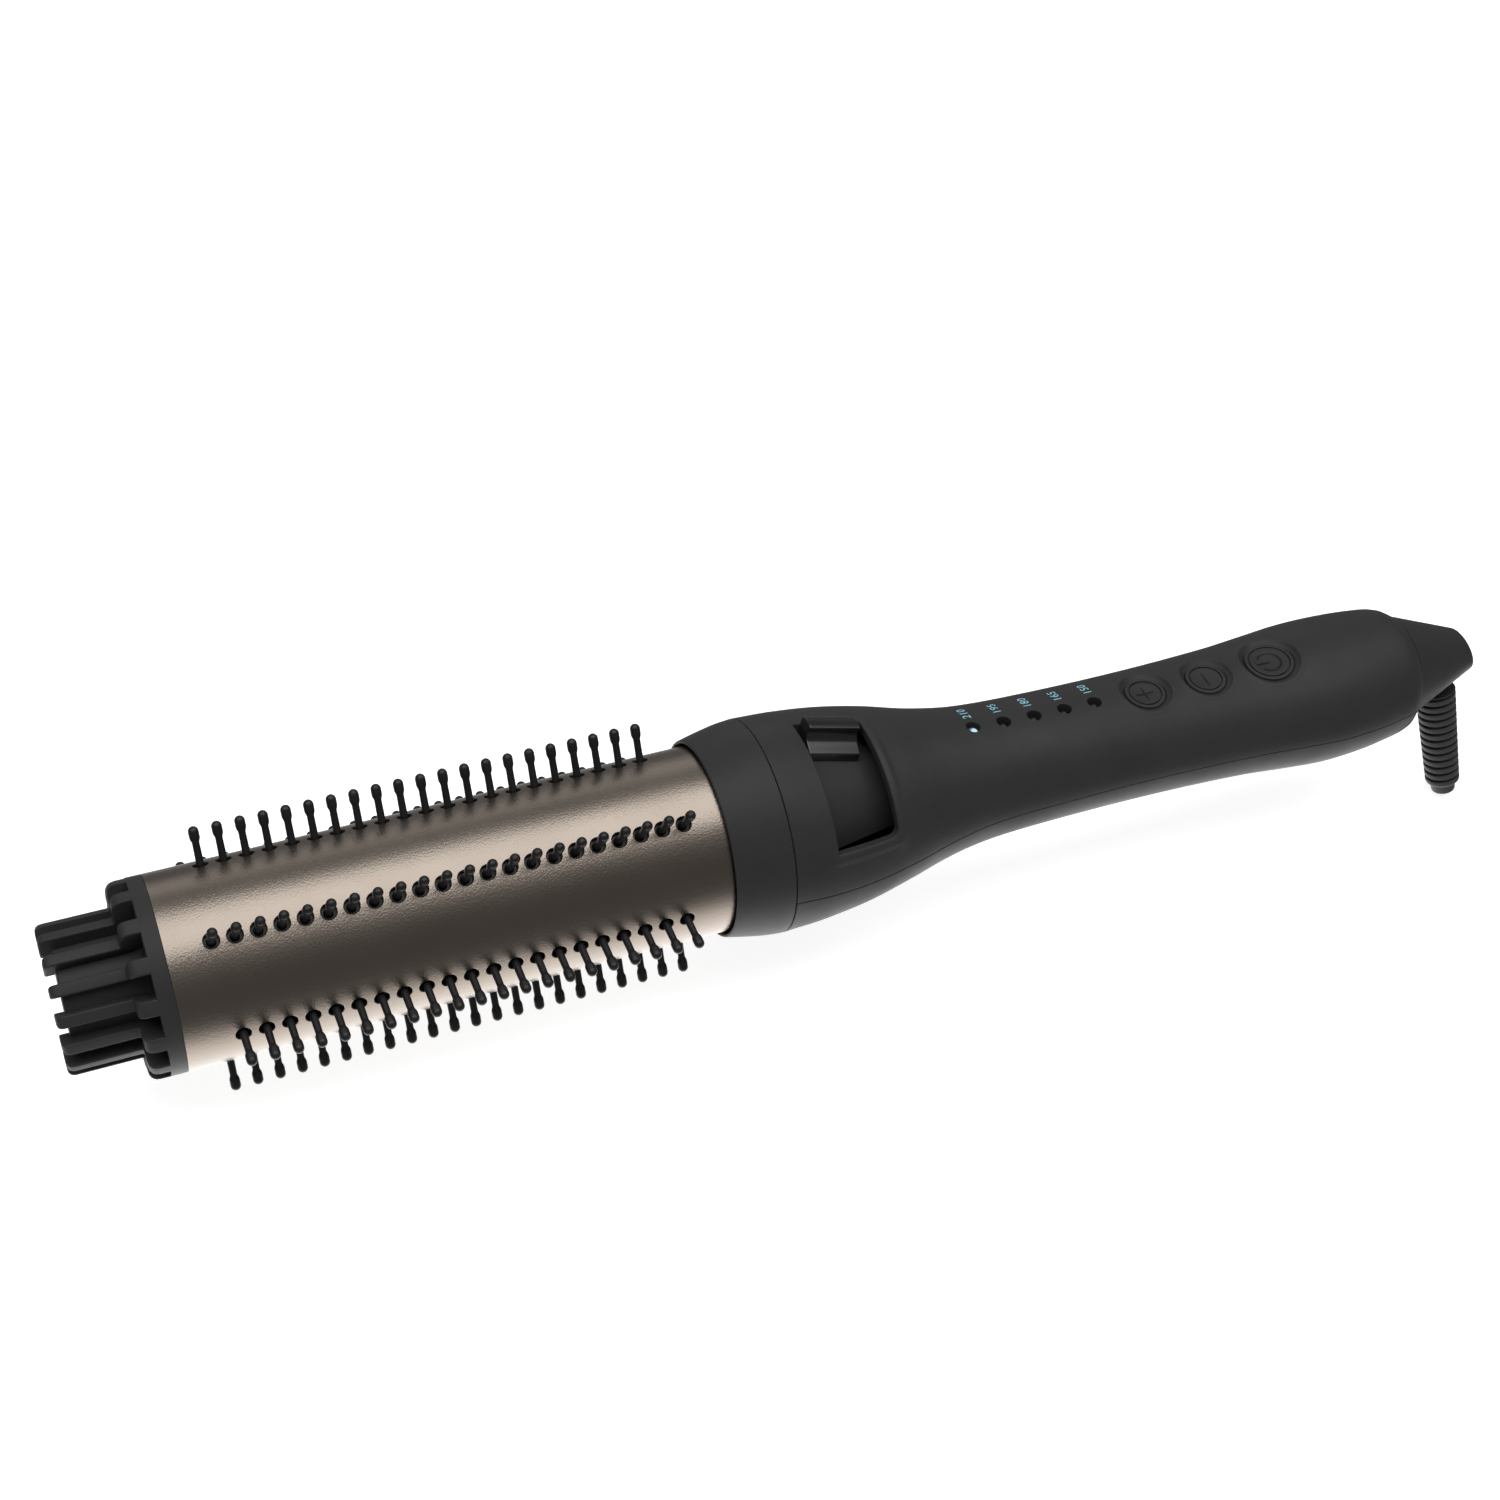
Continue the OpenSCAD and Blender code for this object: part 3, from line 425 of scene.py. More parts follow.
class Form:
    """Points and faces of one mesh, in millimetres."""

    def __init__(self) -> None:
        """Starts with nothing."""
        self.points: list[Vector] = []
        self.faces: list[tuple[int, ...]] = []
        self.exact: dict[tuple[int, int], Vector] = {}

    def add(self, points: Iterable[Vector]) -> list[int]:
        """Adds points.

        Args:
            points: The points.

        Returns:
            Their numbers.
        """
        first = len(self.points)
        self.points.extend(points)
        return list(range(first, len(self.points)))

    def strip(self, a: Sequence[int], b: Sequence[int], closed: bool = True) -> None:
        """Joins two rings with faces, where either may be a single point.

        Args:
            a: Numbers of the first ring's points.
            b: Numbers of the second ring's points.
            closed: Whether the last points join the first.
        """
        count = max(len(a), len(b))
        for k in range(count if closed else count - 1):
            n = (k + 1) % count
            corners = [a[k % len(a)], a[n % len(a)], b[n % len(b)], b[k % len(b)]]
            self.faces.append(tuple(dict.fromkeys(corners)))

    def loft(self, rings: Sequence[Sequence[Vector]], ends: bool = False) -> None:
        """Joins a row of closed rings.

        Args:
            rings: The points of each ring.
            ends: Whether flat faces close the first and last ring.
        """
        numbers = [self.add(ring) for ring in rings]
        for a, b in zip(numbers, numbers[1:]):
            self.strip(a, b)
        if ends:
            self.faces.append(tuple(reversed(numbers[0])))
            self.faces.append(tuple(numbers[-1]))

    def lathe(self, profile: Sequence[Pair], steps: int, place: Matrix | None = None) -> None:
        """Turns a profile about X.

        Args:
            profile: Points as (distance along the axis, radius).
            steps: Points round the axis.
            place: Where the turned shape goes.
        """
        place = place or Matrix.Identity(4)
        rings = []
        for x, r in profile:
            angles = [0.0] if abs(r) < CLOSE else circle(steps)
            rings.append([place @ polar(x, r, a) for a in angles])
        self.loft(rings)

    def piece(
        self, name: str, body: str, look: Look, stands_for: Sequence[str] = (), crease: float = CREASE
    ) -> bpy.types.Object:
        """Makes the piece and puts it on its body.

        Args:
            name: The piece's name.
            body: The body it rides on.
            look: Its finish.
            stands_for: CAD nodes that it replaces.
            crease: Angle in degrees above which an edge stays sharp.

        Returns:
            The new object.
        """
        mesh = bpy.data.meshes.new(name)
        mesh.from_pydata([point * MM for point in self.points], [], self.faces)
        mesh.validate(clean_customdata=False)
        mesh.shade_smooth()
        mesh.set_sharp_from_angle(angle=math.radians(crease))
        if self.exact:
            corners = [
                self.exact.get((polygon.index, vertex), Vector())
                for polygon in mesh.polygons
                for vertex in polygon.vertices
            ]
            mesh.normals_split_custom_set(corners)
        made = bpy.data.objects.new(name, mesh)
        bpy.context.scene.collection.objects.link(made)
        mesh.materials.append(look.material())
        isinstance(look, Finish)
        if stands_for:
            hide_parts(*stands_for)
        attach(made, body)
        log.info("%s: %d points on %s", name, len(self.points), body)
        return made


def soften(piece: bpy.types.Object, width: float, segments: int = 2) -> None:
    """Rounds a piece's sharp edges.

    Args:
        piece: The piece.
        width: Width of the rounding in millimetres.
        segments: Faces across the rounding.
    """
    bevel = piece.modifiers.new("soft_edges", "BEVEL")
    bevel.width = width * MM
    bevel.segments = segments
    bevel.limit_method = "ANGLE"
    bevel.angle_limit = math.radians(CREASE)
    bevel.harden_normals = True


# ---- Skins with openings ----


@dataclass(frozen=True)
class Opening:
    """An opening with a drawn edge. Distances outside the edge are in millimetres."""

    rings: tuple[float, ...]
    edge: Callable[[float], list[Pair]]
    outside: Callable[[float, float], float]


@dataclass
class Skin:
    """A curved skin over a rectangle of (x, angle), with openings whose edges are rounded."""

    place: Callable[[float, float, float], Vector]
    x_span: Pair
    angle_span: Pair
    radius: float
    step: float
    openings: list[Opening]
    rounding: float
    wall: float
    closed: bool = False

    # Half the distance over which a slope is measured
    PROBE = 0.06
    # Share of a step that stays free of grid points round an opening
    CLEARANCE = 0.55
    # Faces across a rounded edge
    ROUND_STEPS = 4

    def __post_init__(self) -> None:
        """Starts an empty form without ends."""
        self.form = Form()
        self.ends: dict[bool, list[int]] = {}

    def _normal(self, x: float, angle: float) -> Vector:
        """Outward direction of the skin.

        Args:
            x: Station along the axis.
            angle: Angle round the axis.

        Returns:
            The unit normal.
        """
        turn = self.PROBE / self.radius
        along = self.place(x + self.PROBE, angle, 0) - self.place(x - self.PROBE, angle, 0)
        around = self.place(x, angle + turn, 0) - self.place(x, angle - turn, 0)
        normal = around.cross(along).normalized()
        here = self.place(x, angle, 0)
        return normal if normal.dot(Vector((0, here.y, here.z))) > 0 else -normal

    def _rounding_steps(self) -> list[Pair]:
        """Steps of an edge's rounding and its wall.

        Returns:
            Pairs of distance outside the edge and depth.
        """
        turns = [RIGHT * k / self.ROUND_STEPS for k in range(1, self.ROUND_STEPS + 1)]
        steps = [(self.rounding * (1 - math.sin(t)), self.rounding * (1 - math.cos(t))) for t in turns]
        return [*steps, (0.0, self.wall)]

    def _counts(self) -> tuple[int, int]:
        """Numbers of steps along and round the rectangle."""
        length, turn = (span[1] - span[0] for span in (self.x_span, self.angle_span))
        return max(2, round(length / self.step)), max(2, round(turn * self.radius / self.step))

    def _border(self, inset: float) -> list[Pair]:
        """Closed loop of points along the rectangle's border.

        Args:
            inset: Distance inside the border.

        Returns:
            The points as (x, angle).
        """
        (x0, x1), (a0, a1) = self.x_span, self.angle_span
        side = 0.0 if self.closed else inset / self.radius
        x0, x1, a0, a1 = x0 + inset, x1 - inset, a0 + side, a1 - side
        nx, na = self._counts()
        return (
            [(x0 + (x1 - x0) * k / nx, a0) for k in range(nx)]
            + [(x1, a0 + (a1 - a0) * k / na) for k in range(na)]
            + [(x1 - (x1 - x0) * k / nx, a1) for k in range(nx)]
            + [(x0, a1 - (a1 - a0) * k / na) for k in range(na)]
        )

    def _inside(self) -> list[Pair]:
        """Grid of points inside the border and clear of the openings.

        Returns:
            The points as (x, angle).
        """
        (x0, x1), (a0, a1) = self.x_span, self.angle_span
        nx, na = self._counts()
        clear = self.CLEARANCE * self.step
        found = []
        for i in range(1, nx):
            for j in range(1, na):
                x, angle = x0 + (x1 - x0) * i / nx, a0 + (a1 - a0) * j / na
                if all(o.outside(x, angle) > o.rings[-1] + clear for o in self.openings):
                    found.append((x, angle))
        return found

    def _triangles(self, loops: list[list[Pair]]) -> tuple[list[Pair], list[list[int]], dict[int, int]]:
        """Fills the rectangle between its border and its openings with triangles.

        Args:
            loops: The border and the edge of each opening.

        Returns:
            The points as (x, angle), their triangles, and the point made from each loop point.
        """
        flat = [point for loop in loops for point in loop]
        owners = [owner for owner, loop in enumerate(loops) for _ in loop]
        lines: list[tuple[int, int]] = []
        for loop in loops:
            first = len(lines)
            lines += [(first + k, first + (k + 1) % len(loop)) for k in range(len(loop))]
        for opening in self.openings:
            for ring in opening.rings:
                flat += opening.edge(self.rounding + ring)
        flat += self._inside()
        owners += [-1] * (len(flat) - len(owners))
        drawn = [Vector((x, angle * self.radius)) for x, angle in flat]
        made, _, faces, sources, _, _ = delaunay_2d_cdt(drawn, lines, [], 0, CLOSE, True)
        source = [ids[0] if ids else -1 for ids in sources]
        owner_of = [owners[k] if k >= 0 else -1 for k in source]
        kept = [face for face in faces if owner_of[face[0]] < 1 or len({owner_of[k] for k in face}) > 1]
        domain = [(point.x, point.y / self.radius) for point in made]
        return domain, kept, {k: n for n, k in enumerate(source) if k >= 0}

    def build(self) -> Form:
        """Builds the skin, its rounded edges and their walls.

        Returns:
            The form, which has an inner skin too.
        """
        loops = [self._border(0.0 if self.closed else self.rounding)]
        loops += [opening.edge(self.rounding) for opening in self.openings]
        curves = [self._border, *(opening.edge for opening in self.openings)]
        domain, kept, number_of = self._triangles(loops)
        outer = self._sheet(domain, kept, 0.0, False)
        inner = self._sheet(domain, kept, self.wall, True)
        first = 0
        for owner, (loop, curve) in enumerate(zip(loops, curves)):
            ids = [number_of[first + k] for k in range(len(loop))]
            first += len(loop)
            if owner == 0 and self.closed:
                self._end_walls(domain, ids, outer, inner)
                continue
            ring = [outer[k] for k in ids]
            for distance, depth in self._rounding_steps():
                following = self.form.add([self.place(x, angle, depth) for x, angle in curve(distance)])
                self.form.strip(ring, following)
                ring = following
            self.form.strip(ring, [inner[k] for k in ids])
        return self.form

    def _sheet(self, domain: list[Pair], faces: list[list[int]], depth: float, inner: bool) -> list[int]:
        """Adds the outer or inner skin.

        Args:
            domain: Points as (x, angle).
            faces: Their triangles.
            depth: Depth below the outer skin.
            inner: Whether the faces look inwards.

        Returns:
            The number of each domain point in the form.
        """
        seam = {}
        numbers = []
        for x, angle in domain:
            if self.closed and abs(angle - self.angle_span[1]) < CLOSE:
                numbers.append(-1)
                continue
            number = self.form.add([self.place(x, angle, depth)])[0]
            numbers.append(number)
            if self.closed and abs(angle - self.angle_span[0]) < CLOSE:
                seam[round(x, 3)] = number
        for k, (x, _) in enumerate(domain):
            if numbers[k] < 0:
                numbers[k] = seam[round(x, 3)]
        normals = [self._normal(x, angle) * (-1 if inner else 1) for x, angle in domain]
        for face in faces:
            ring = [numbers[k] for k in face]
            a, b, c = (self.form.points[k] for k in ring[:3])
            facing = (b - a).cross(c - a).dot(normals[face[0]])
            self.form.faces.append(tuple(ring if facing > 0 else reversed(ring)))
            for k in face:
                self.form.exact[(len(self.form.faces) - 1, numbers[k])] = normals[k]
        return numbers

    def _end_walls(self, domain: list[Pair], ids: list[int], outer: list[int], inner: list[int]) -> None:
        """Closes both ends of a closed skin between its outer and inner faces, and notes its end rings.

        Args:
            domain: Points as (x, angle).
            ids: Domain numbers of the border loop.
            outer: Numbers of the outer points.
            inner: Numbers of the inner points.
        """
        for high in (False, True):
            x = self.x_span[1] if high else self.x_span[0]
            row = sorted((k for k in ids if abs(domain[k][0] - x) < CLOSE), key=lambda k: domain[k][1])[:-1]
            self.form.strip([outer[k] for k in row], [inner[k] for k in row])
            self.ends[high] = [outer[k] for k in row]


# ---- Stations taken from the frame ----


def low_x(node: str) -> float:
    """First station of a CAD node in millimetres."""
    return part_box(node)[0].x / MM


def high_x(node: str) -> float:
    """Last station of a CAD node in millimetres."""
    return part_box(node)[1].x / MM


def top_z(node: str) -> float:
    """Height of a CAD node in millimetres."""
    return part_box(node)[1].z / MM


BARREL_R = top_z("barrel_tube")
BARREL_X = low_x("barrel_tube")
LIP_X = low_x("collar")
SEAM_X = low_x("top_housing")
TAIL_X = high_x("top_housing")
ROWS = range(1, 7)


def row_angle(row: int) -> float:
    """Angle of a bristle row round the brush."""
    return TURN / len(ROWS) * row


# ---- Finger cap ----


@dataclass
class FingerCap:
    """The cool cap that the fingers hold: a core, a ring of fins and the band next to the barrel."""

    fins: int = 15
    first_fin: float = 7.1
    fin_angle: float = 9.8
    fin_radius: float = 14.35
    fin_root: float = 1.2
    fin_overlap: float = 0.4
    core_radius: float = 11.8
    flare: Pair = (2.5, 1.0)
    shoulder: float = 12.0
    band: float = 15.8
    spigot_depths: Pair = (1.1, 2.6)
    web: float = 0.5
    recess: float = 1.5
    plug_radius: float = 5.95
    plug_gap: float = 0.05
    plug_rim: Pair = (1.0, 1.6)
    plug_dish: float = 0.35
    softness: float = 0.35

    def core(self) -> None:
        """Turns the core, its band and the spigot in one piece."""
        form = Form()
        pocket = self.plug_radius + self.plug_gap
        length, height = self.flare
        outer, inner = (BARREL_R - depth for depth in self.spigot_depths)
        back = high_x("tip_cap")
        profile = rounded([
            (self.recess, 0, 0),
            (self.recess, pocket, 0),
            (0, pocket, 0.15),
            (0, self.core_radius, 0.5),
            (self.band - length, self.core_radius, 0),
            (self.band, self.core_radius + height, 0.8),
            (self.band, BARREL_R, 0.25),
            (BARREL_X, BARREL_R, 0.25),
            (BARREL_X, outer, 0),
            (back, outer, 0.2),
            (back, inner, 0),
            (BARREL_X + self.web, inner, 0),
            (BARREL_X + self.web, 0, 0),
        ])
        form.lathe(profile, FINE)
        for turn in circle(self.fins):
            self.fin(form, math.radians(self.first_fin) + turn, low_x("tip_cap"))
        piece = form.piece("finger_cap", "casing", BLACK, ["tip_cap"])
        soften(piece, self.softness, 3)

    def fin(self, form: Form, angle: float, front: float) -> None:
        """Adds one grip fin with its shoulder.

        Args:
            form: The form to add to.
            angle: Angle of the fin's middle round the axis.
            front: Station of the fin's free end.
        """
        root, back = self.core_radius - self.fin_root, self.band + self.fin_overlap
        profile = rounded([
            (front, root, 0),
            (front, self.fin_radius, 1.5),
            (self.shoulder, self.fin_radius, 0.5),
            (self.shoulder, BARREL_R, 2.0),
            (back, BARREL_R, 0),
            (back, root, 0),
        ])
        half = math.radians(self.fin_angle) / 2
        rings = []
        for share in (-1.0, -0.5, 0.0, 0.5, 1.0):
            a = angle + half * share
            rings.append([polar(x, r, a) for x, r in profile])
        form.loft(rings, ends=True)

    def plug(self) -> None:
        """Turns the round plug in the middle of the cap."""
        form = Form()
        r, face = self.plug_radius, self.plug_gap
        rim, dish = (r - width for width in self.plug_rim)
        profile = rounded([
            (self.recess, 0, 0),
            (self.recess, r, 0),
            (face, r, 0.25),
            (face, rim, 0.2),
            (self.plug_dish, dish, 0.3),
            (self.plug_dish, 0, 0),
        ])
        form.lathe(profile, FINE // 2)
        form.piece("cap_plug", "casing", BLACK, ["tip_plug"])

    def build(self) -> None:
        """Builds the cap."""
        self.core()
        self.plug()


# ---- Barrel and bristles ----


@dataclass
class Barrel:
    """The heated tube with its rows of bristles."""

    pitch: float = 4.33
    long_row: int = 22
    first_hole: float = BARREL_X + 8.44
    hole_radius: float = 1.5
    hole_points: int = 28
    hole_rounding: float = 0.18
    wall: float = 1.0
    end: float = high_x("barrel_tube")
    bar_width: float = 4.4
    bar_top: float = 17.5
    bar_thickness: float = 2.0
    foot: float = 0.35
    foot_height: float = 0.6
    foot_sink: float = 0.4
    shaft_radius: float = 0.76
    neck_radius: float = 0.7
    head_radius: float = 1.0
    head_length: float = 3.0
    tip: float = BARREL_R + 7.5
    bar_span: Pair = (BARREL_X + 6.7, LIP_X - 4.7)
    pin_out: float = 13.2
    pin_radius: float = 1.0
    lug_width: float = 3.0
    lug_low: float = 12.2
    lug_thickness: float = 1.5

    def stations(self, row: int) -> list[float]:
        """Stations of a row's bristles.

        Args:
            row: Row number from 1.

        Returns:
            The stations in millimetres.
        """
        odd = row % 2 == 1
        start = self.first_hole + (0.0 if odd else self.pitch / 2)
        return [start + k * self.pitch for k in range(self.long_row if odd else self.long_row - 1)]

    def hole(self, x: float, angle: float) -> Opening:
        """A bristle hole through the tube.

        Args:
            x: Station of its centre.
            angle: Angle of its centre.

        Returns:
            The opening.
        """

        def edge(distance: float) -> list[Pair]:
            """Circle round the hole.

            Args:
                distance: Distance outside the hole's edge.

            Returns:
                The points as (x, angle).
            """
            r = self.hole_radius + distance
            turns = circle(self.hole_points)
            return [(x + r * math.cos(t), angle + math.asin(r * math.sin(t) / BARREL_R)) for t in turns]

        def outside(px: float, pa: float) -> float:
            """Distance of a point outside the hole."""
            return math.hypot(px - x, (pa - angle) * BARREL_R) - self.hole_radius

        return Opening((0.0,), edge, outside)

    def tube(self) -> None:
        """Builds the tube, whose hole edges are slightly rounded."""

        def place(x: float, angle: float, depth: float) -> Vector:
            """Point of the tube at a depth below its surface."""
            return polar(x, BARREL_R - depth, angle)

        start = row_angle(1) / 2
        skin = Skin(
            place,
            x_span=(BARREL_X, self.end),
            angle_span=(start, start + TURN),
            radius=BARREL_R,
            step=2.2,
            openings=[self.hole(x, row_angle(row)) for row in ROWS for x in self.stations(row)],
            rounding=self.hole_rounding,
            wall=self.wall,
            closed=True,
        )
        skin.build().piece("barrel", "casing", BRONZE, ["barrel_tube"])

    def bristle(self, form: Form, x: float, turn: Matrix) -> None:
        """Adds one bristle with its rounded head.

        Args:
            form: The row's form.
            x: Station of the bristle.
            turn: Turn of the row round the brush.
        """
        neck = self.tip - self.head_length
        centre = self.tip - self.head_radius
        bottom = self.bar_top - self.foot_sink
        profile = rounded([
            (bottom, 0, 0),
            (bottom, self.shaft_radius + self.foot, 0),
            (self.bar_top + self.foot_height, self.shaft_radius, 0.4),
            (neck - 0.1, self.neck_radius, 0.3),
            (neck + 0.6, self.head_radius, 0.4),
            (centre, self.head_radius, 0.3),
        ])
        for t in circle(20)[1:6]:
            profile.append((centre + self.head_radius * math.sin(t), self.head_radius * math.cos(t)))
        stand = turn @ Matrix.Translation((x, 0, 0)) @ Matrix.Rotation(-RIGHT, 4, "Y")
        form.lathe(profile, 18, stand)

    def row(self, row: int) -> None:
        """Builds a row: the hidden bar, its end pins on their lugs, and the bristles.

        Args:
            row: Row number from 1.
        """
        node = f"bristle_row_{row}"
        form = Form()
        turn = Matrix.Rotation(RIGHT - row_angle(row), 4, "X")
        x0, x1 = self.bar_span
        half, top, low = self.bar_width / 2, self.bar_top, self.bar_top - self.bar_thickness
        corners = ((-half, low), (half, low), (half, top), (-half, top))
        section = rounded([(*corner, 0.3) for corner in corners], closed=True)
        form.loft([[turn @ Vector((x, y, z)) for y, z in section] for x in (x0, x1)], ends=True)
        pin, thick, r = turn @ Matrix.Translation((0, 0, self.pin_out)), self.lug_thickness, self.pin_radius
        for start, end in ((low_x(node), x0 + thick), (x1 - thick, high_x(node))):
            form.lathe(rounded([(start, 0, 0), (start, r, 0.2), (end, r, 0.2), (end, 0, 0)]), 20, pin)
        side, high = self.lug_width / 2, low + 0.5
        corners = ((-side, self.lug_low), (side, self.lug_low), (side, high), (-side, high))
        for lug in (x0, x1 - thick):
            form.loft([[turn @ Vector((x, y, z)) for y, z in corners] for x in (lug, lug + thick)], ends=True)
        for x in self.stations(row):
            self.bristle(form, x, turn)
        form.piece(f"bristles_{row}", f"row_{row}", BRISTLE, [node])

    def build(self) -> None:
        """Builds the tube and the six rows."""
        self.tube()
        for row in ROWS:
            self.row(row)


# ---- Handle ----


@dataclass(frozen=True)
class Outline:
    """Smooth outline of the handle behind the collar."""

    rows: tuple[tuple[float, float, float, float], ...] = (
        (0, 22.2, 22, 22),
        (8.5, 22.5, 20.8, 20.2),
        (18, 21.6, 19.5, 18.3),
        (27.5, 19.5, 17.7, 16.1),
        (37, 16.8, 15.2, 14.5),
        (47, 14.9, 13.5, 13.7),
        (62, 14.2, 12.5, 13.3),
        (86, 14.1, 12, 13.4),
        (107, 14.9, 12, 14),
        (118, 15.8, 12.5, 15),
        (127, 16.5, 13, 15.5),
        (136, 16.1, 13.4, 15.1),
        (143, 15.1, 13.5, 14.4),
        (147.6, 14, 13.1, 13.7),
        (149.6, 12.3, 12.1, 12.3),
    )

    def slope(self, row: int, column: int) -> float:
        """Slope of a column at a row, from the rows beside it."""
        low, high = self.rows[max(row - 1, 0)], self.rows[min(row + 1, len(self.rows) - 1)]
        return (high[column] - low[column]) / (high[0] - low[0])

    def value(self, x: float, column: int) -> float:
        """Smooth value of a column.

        Args:
            x: Station in millimetres.
            column: 1 for half width, 2 for height above and 3 for depth below the parting plane.

        Returns:
            The value in millimetres.
        """
        x = min(max(x - SEAM_X, 0.0), self.rows[-1][0])
        row = max(k for k in range(len(self.rows) - 1) if k == 0 or self.rows[k][0] < x)
        a, b = self.rows[row], self.rows[row + 1]
        span = b[0] - a[0]
        t = (x - a[0]) / span
        start, end = self.slope(row, column) * span, self.slope(row + 1, column) * span
        return (
            a[column] * (1 + 2 * t) * (1 - t) ** 2
            + start * t * (1 - t) ** 2
            + b[column] * t * t * (3 - 2 * t)
            - end * t * t * (1 - t)
        )

    def radius(self, x: float, angle: float) -> float:
        """Distance of the outline from the axis at an angle."""
        width, height = self.value(x, 1), self.value(x, 2 if math.sin(angle) >= 0 else 3)
        return 1 / math.hypot(math.cos(angle) / width, math.sin(angle) / height)

    def height(self, x: float, y: float) -> float:
        """Height of the upper surface above a point of the parting plane."""
        return self.value(x, 2) * math.sqrt(max(0.0, 1 - (y / self.value(x, 1)) ** 2))

    def angle(self, x: float, y: float) -> float:
        """Angle round the axis of the upper surface above a point."""
        return math.atan2(self.height(x, y), -y)


OUTLINE = Outline()


@dataclass(frozen=True)
class Button:
    """A round push button in its bowl."""

    name: str
    x: float
    radius: float

    bowl_width: float = 1.1
    bowl_depth: float = 0.95
    bowl_power: float = 1.4
    gap: float = 0.2
    lip: float = 0.1
    lip_out: float = 0.25
    lip_spread: float = 0.5
    reach: float = 2.5

    def sink(self, x: float, y: float) -> float:
        """Depth of the bowl at a point.

        Args:
            x: Station of the point.
            y: Its distance from the middle plane.

        Returns:
            The depth, below zero on the raised lip.
        """
        away = math.hypot(x - self.x, y) - self.radius - self.gap
        if away > self.bowl_width + self.reach:
            return 0.0
        share = max(0.0, away) / self.bowl_width
        bowl = self.bowl_depth * (1 - share**self.bowl_power) if share < 1 else 0.0
        return bowl - self.lip * bell(away - self.bowl_width - self.lip_out, self.lip_spread)


BUTTONS = (
    Button("plus", 224.6, 4.35),
    Button("minus", 239.0, 4.35),
    Button("power", 254.3, 5.3),
)


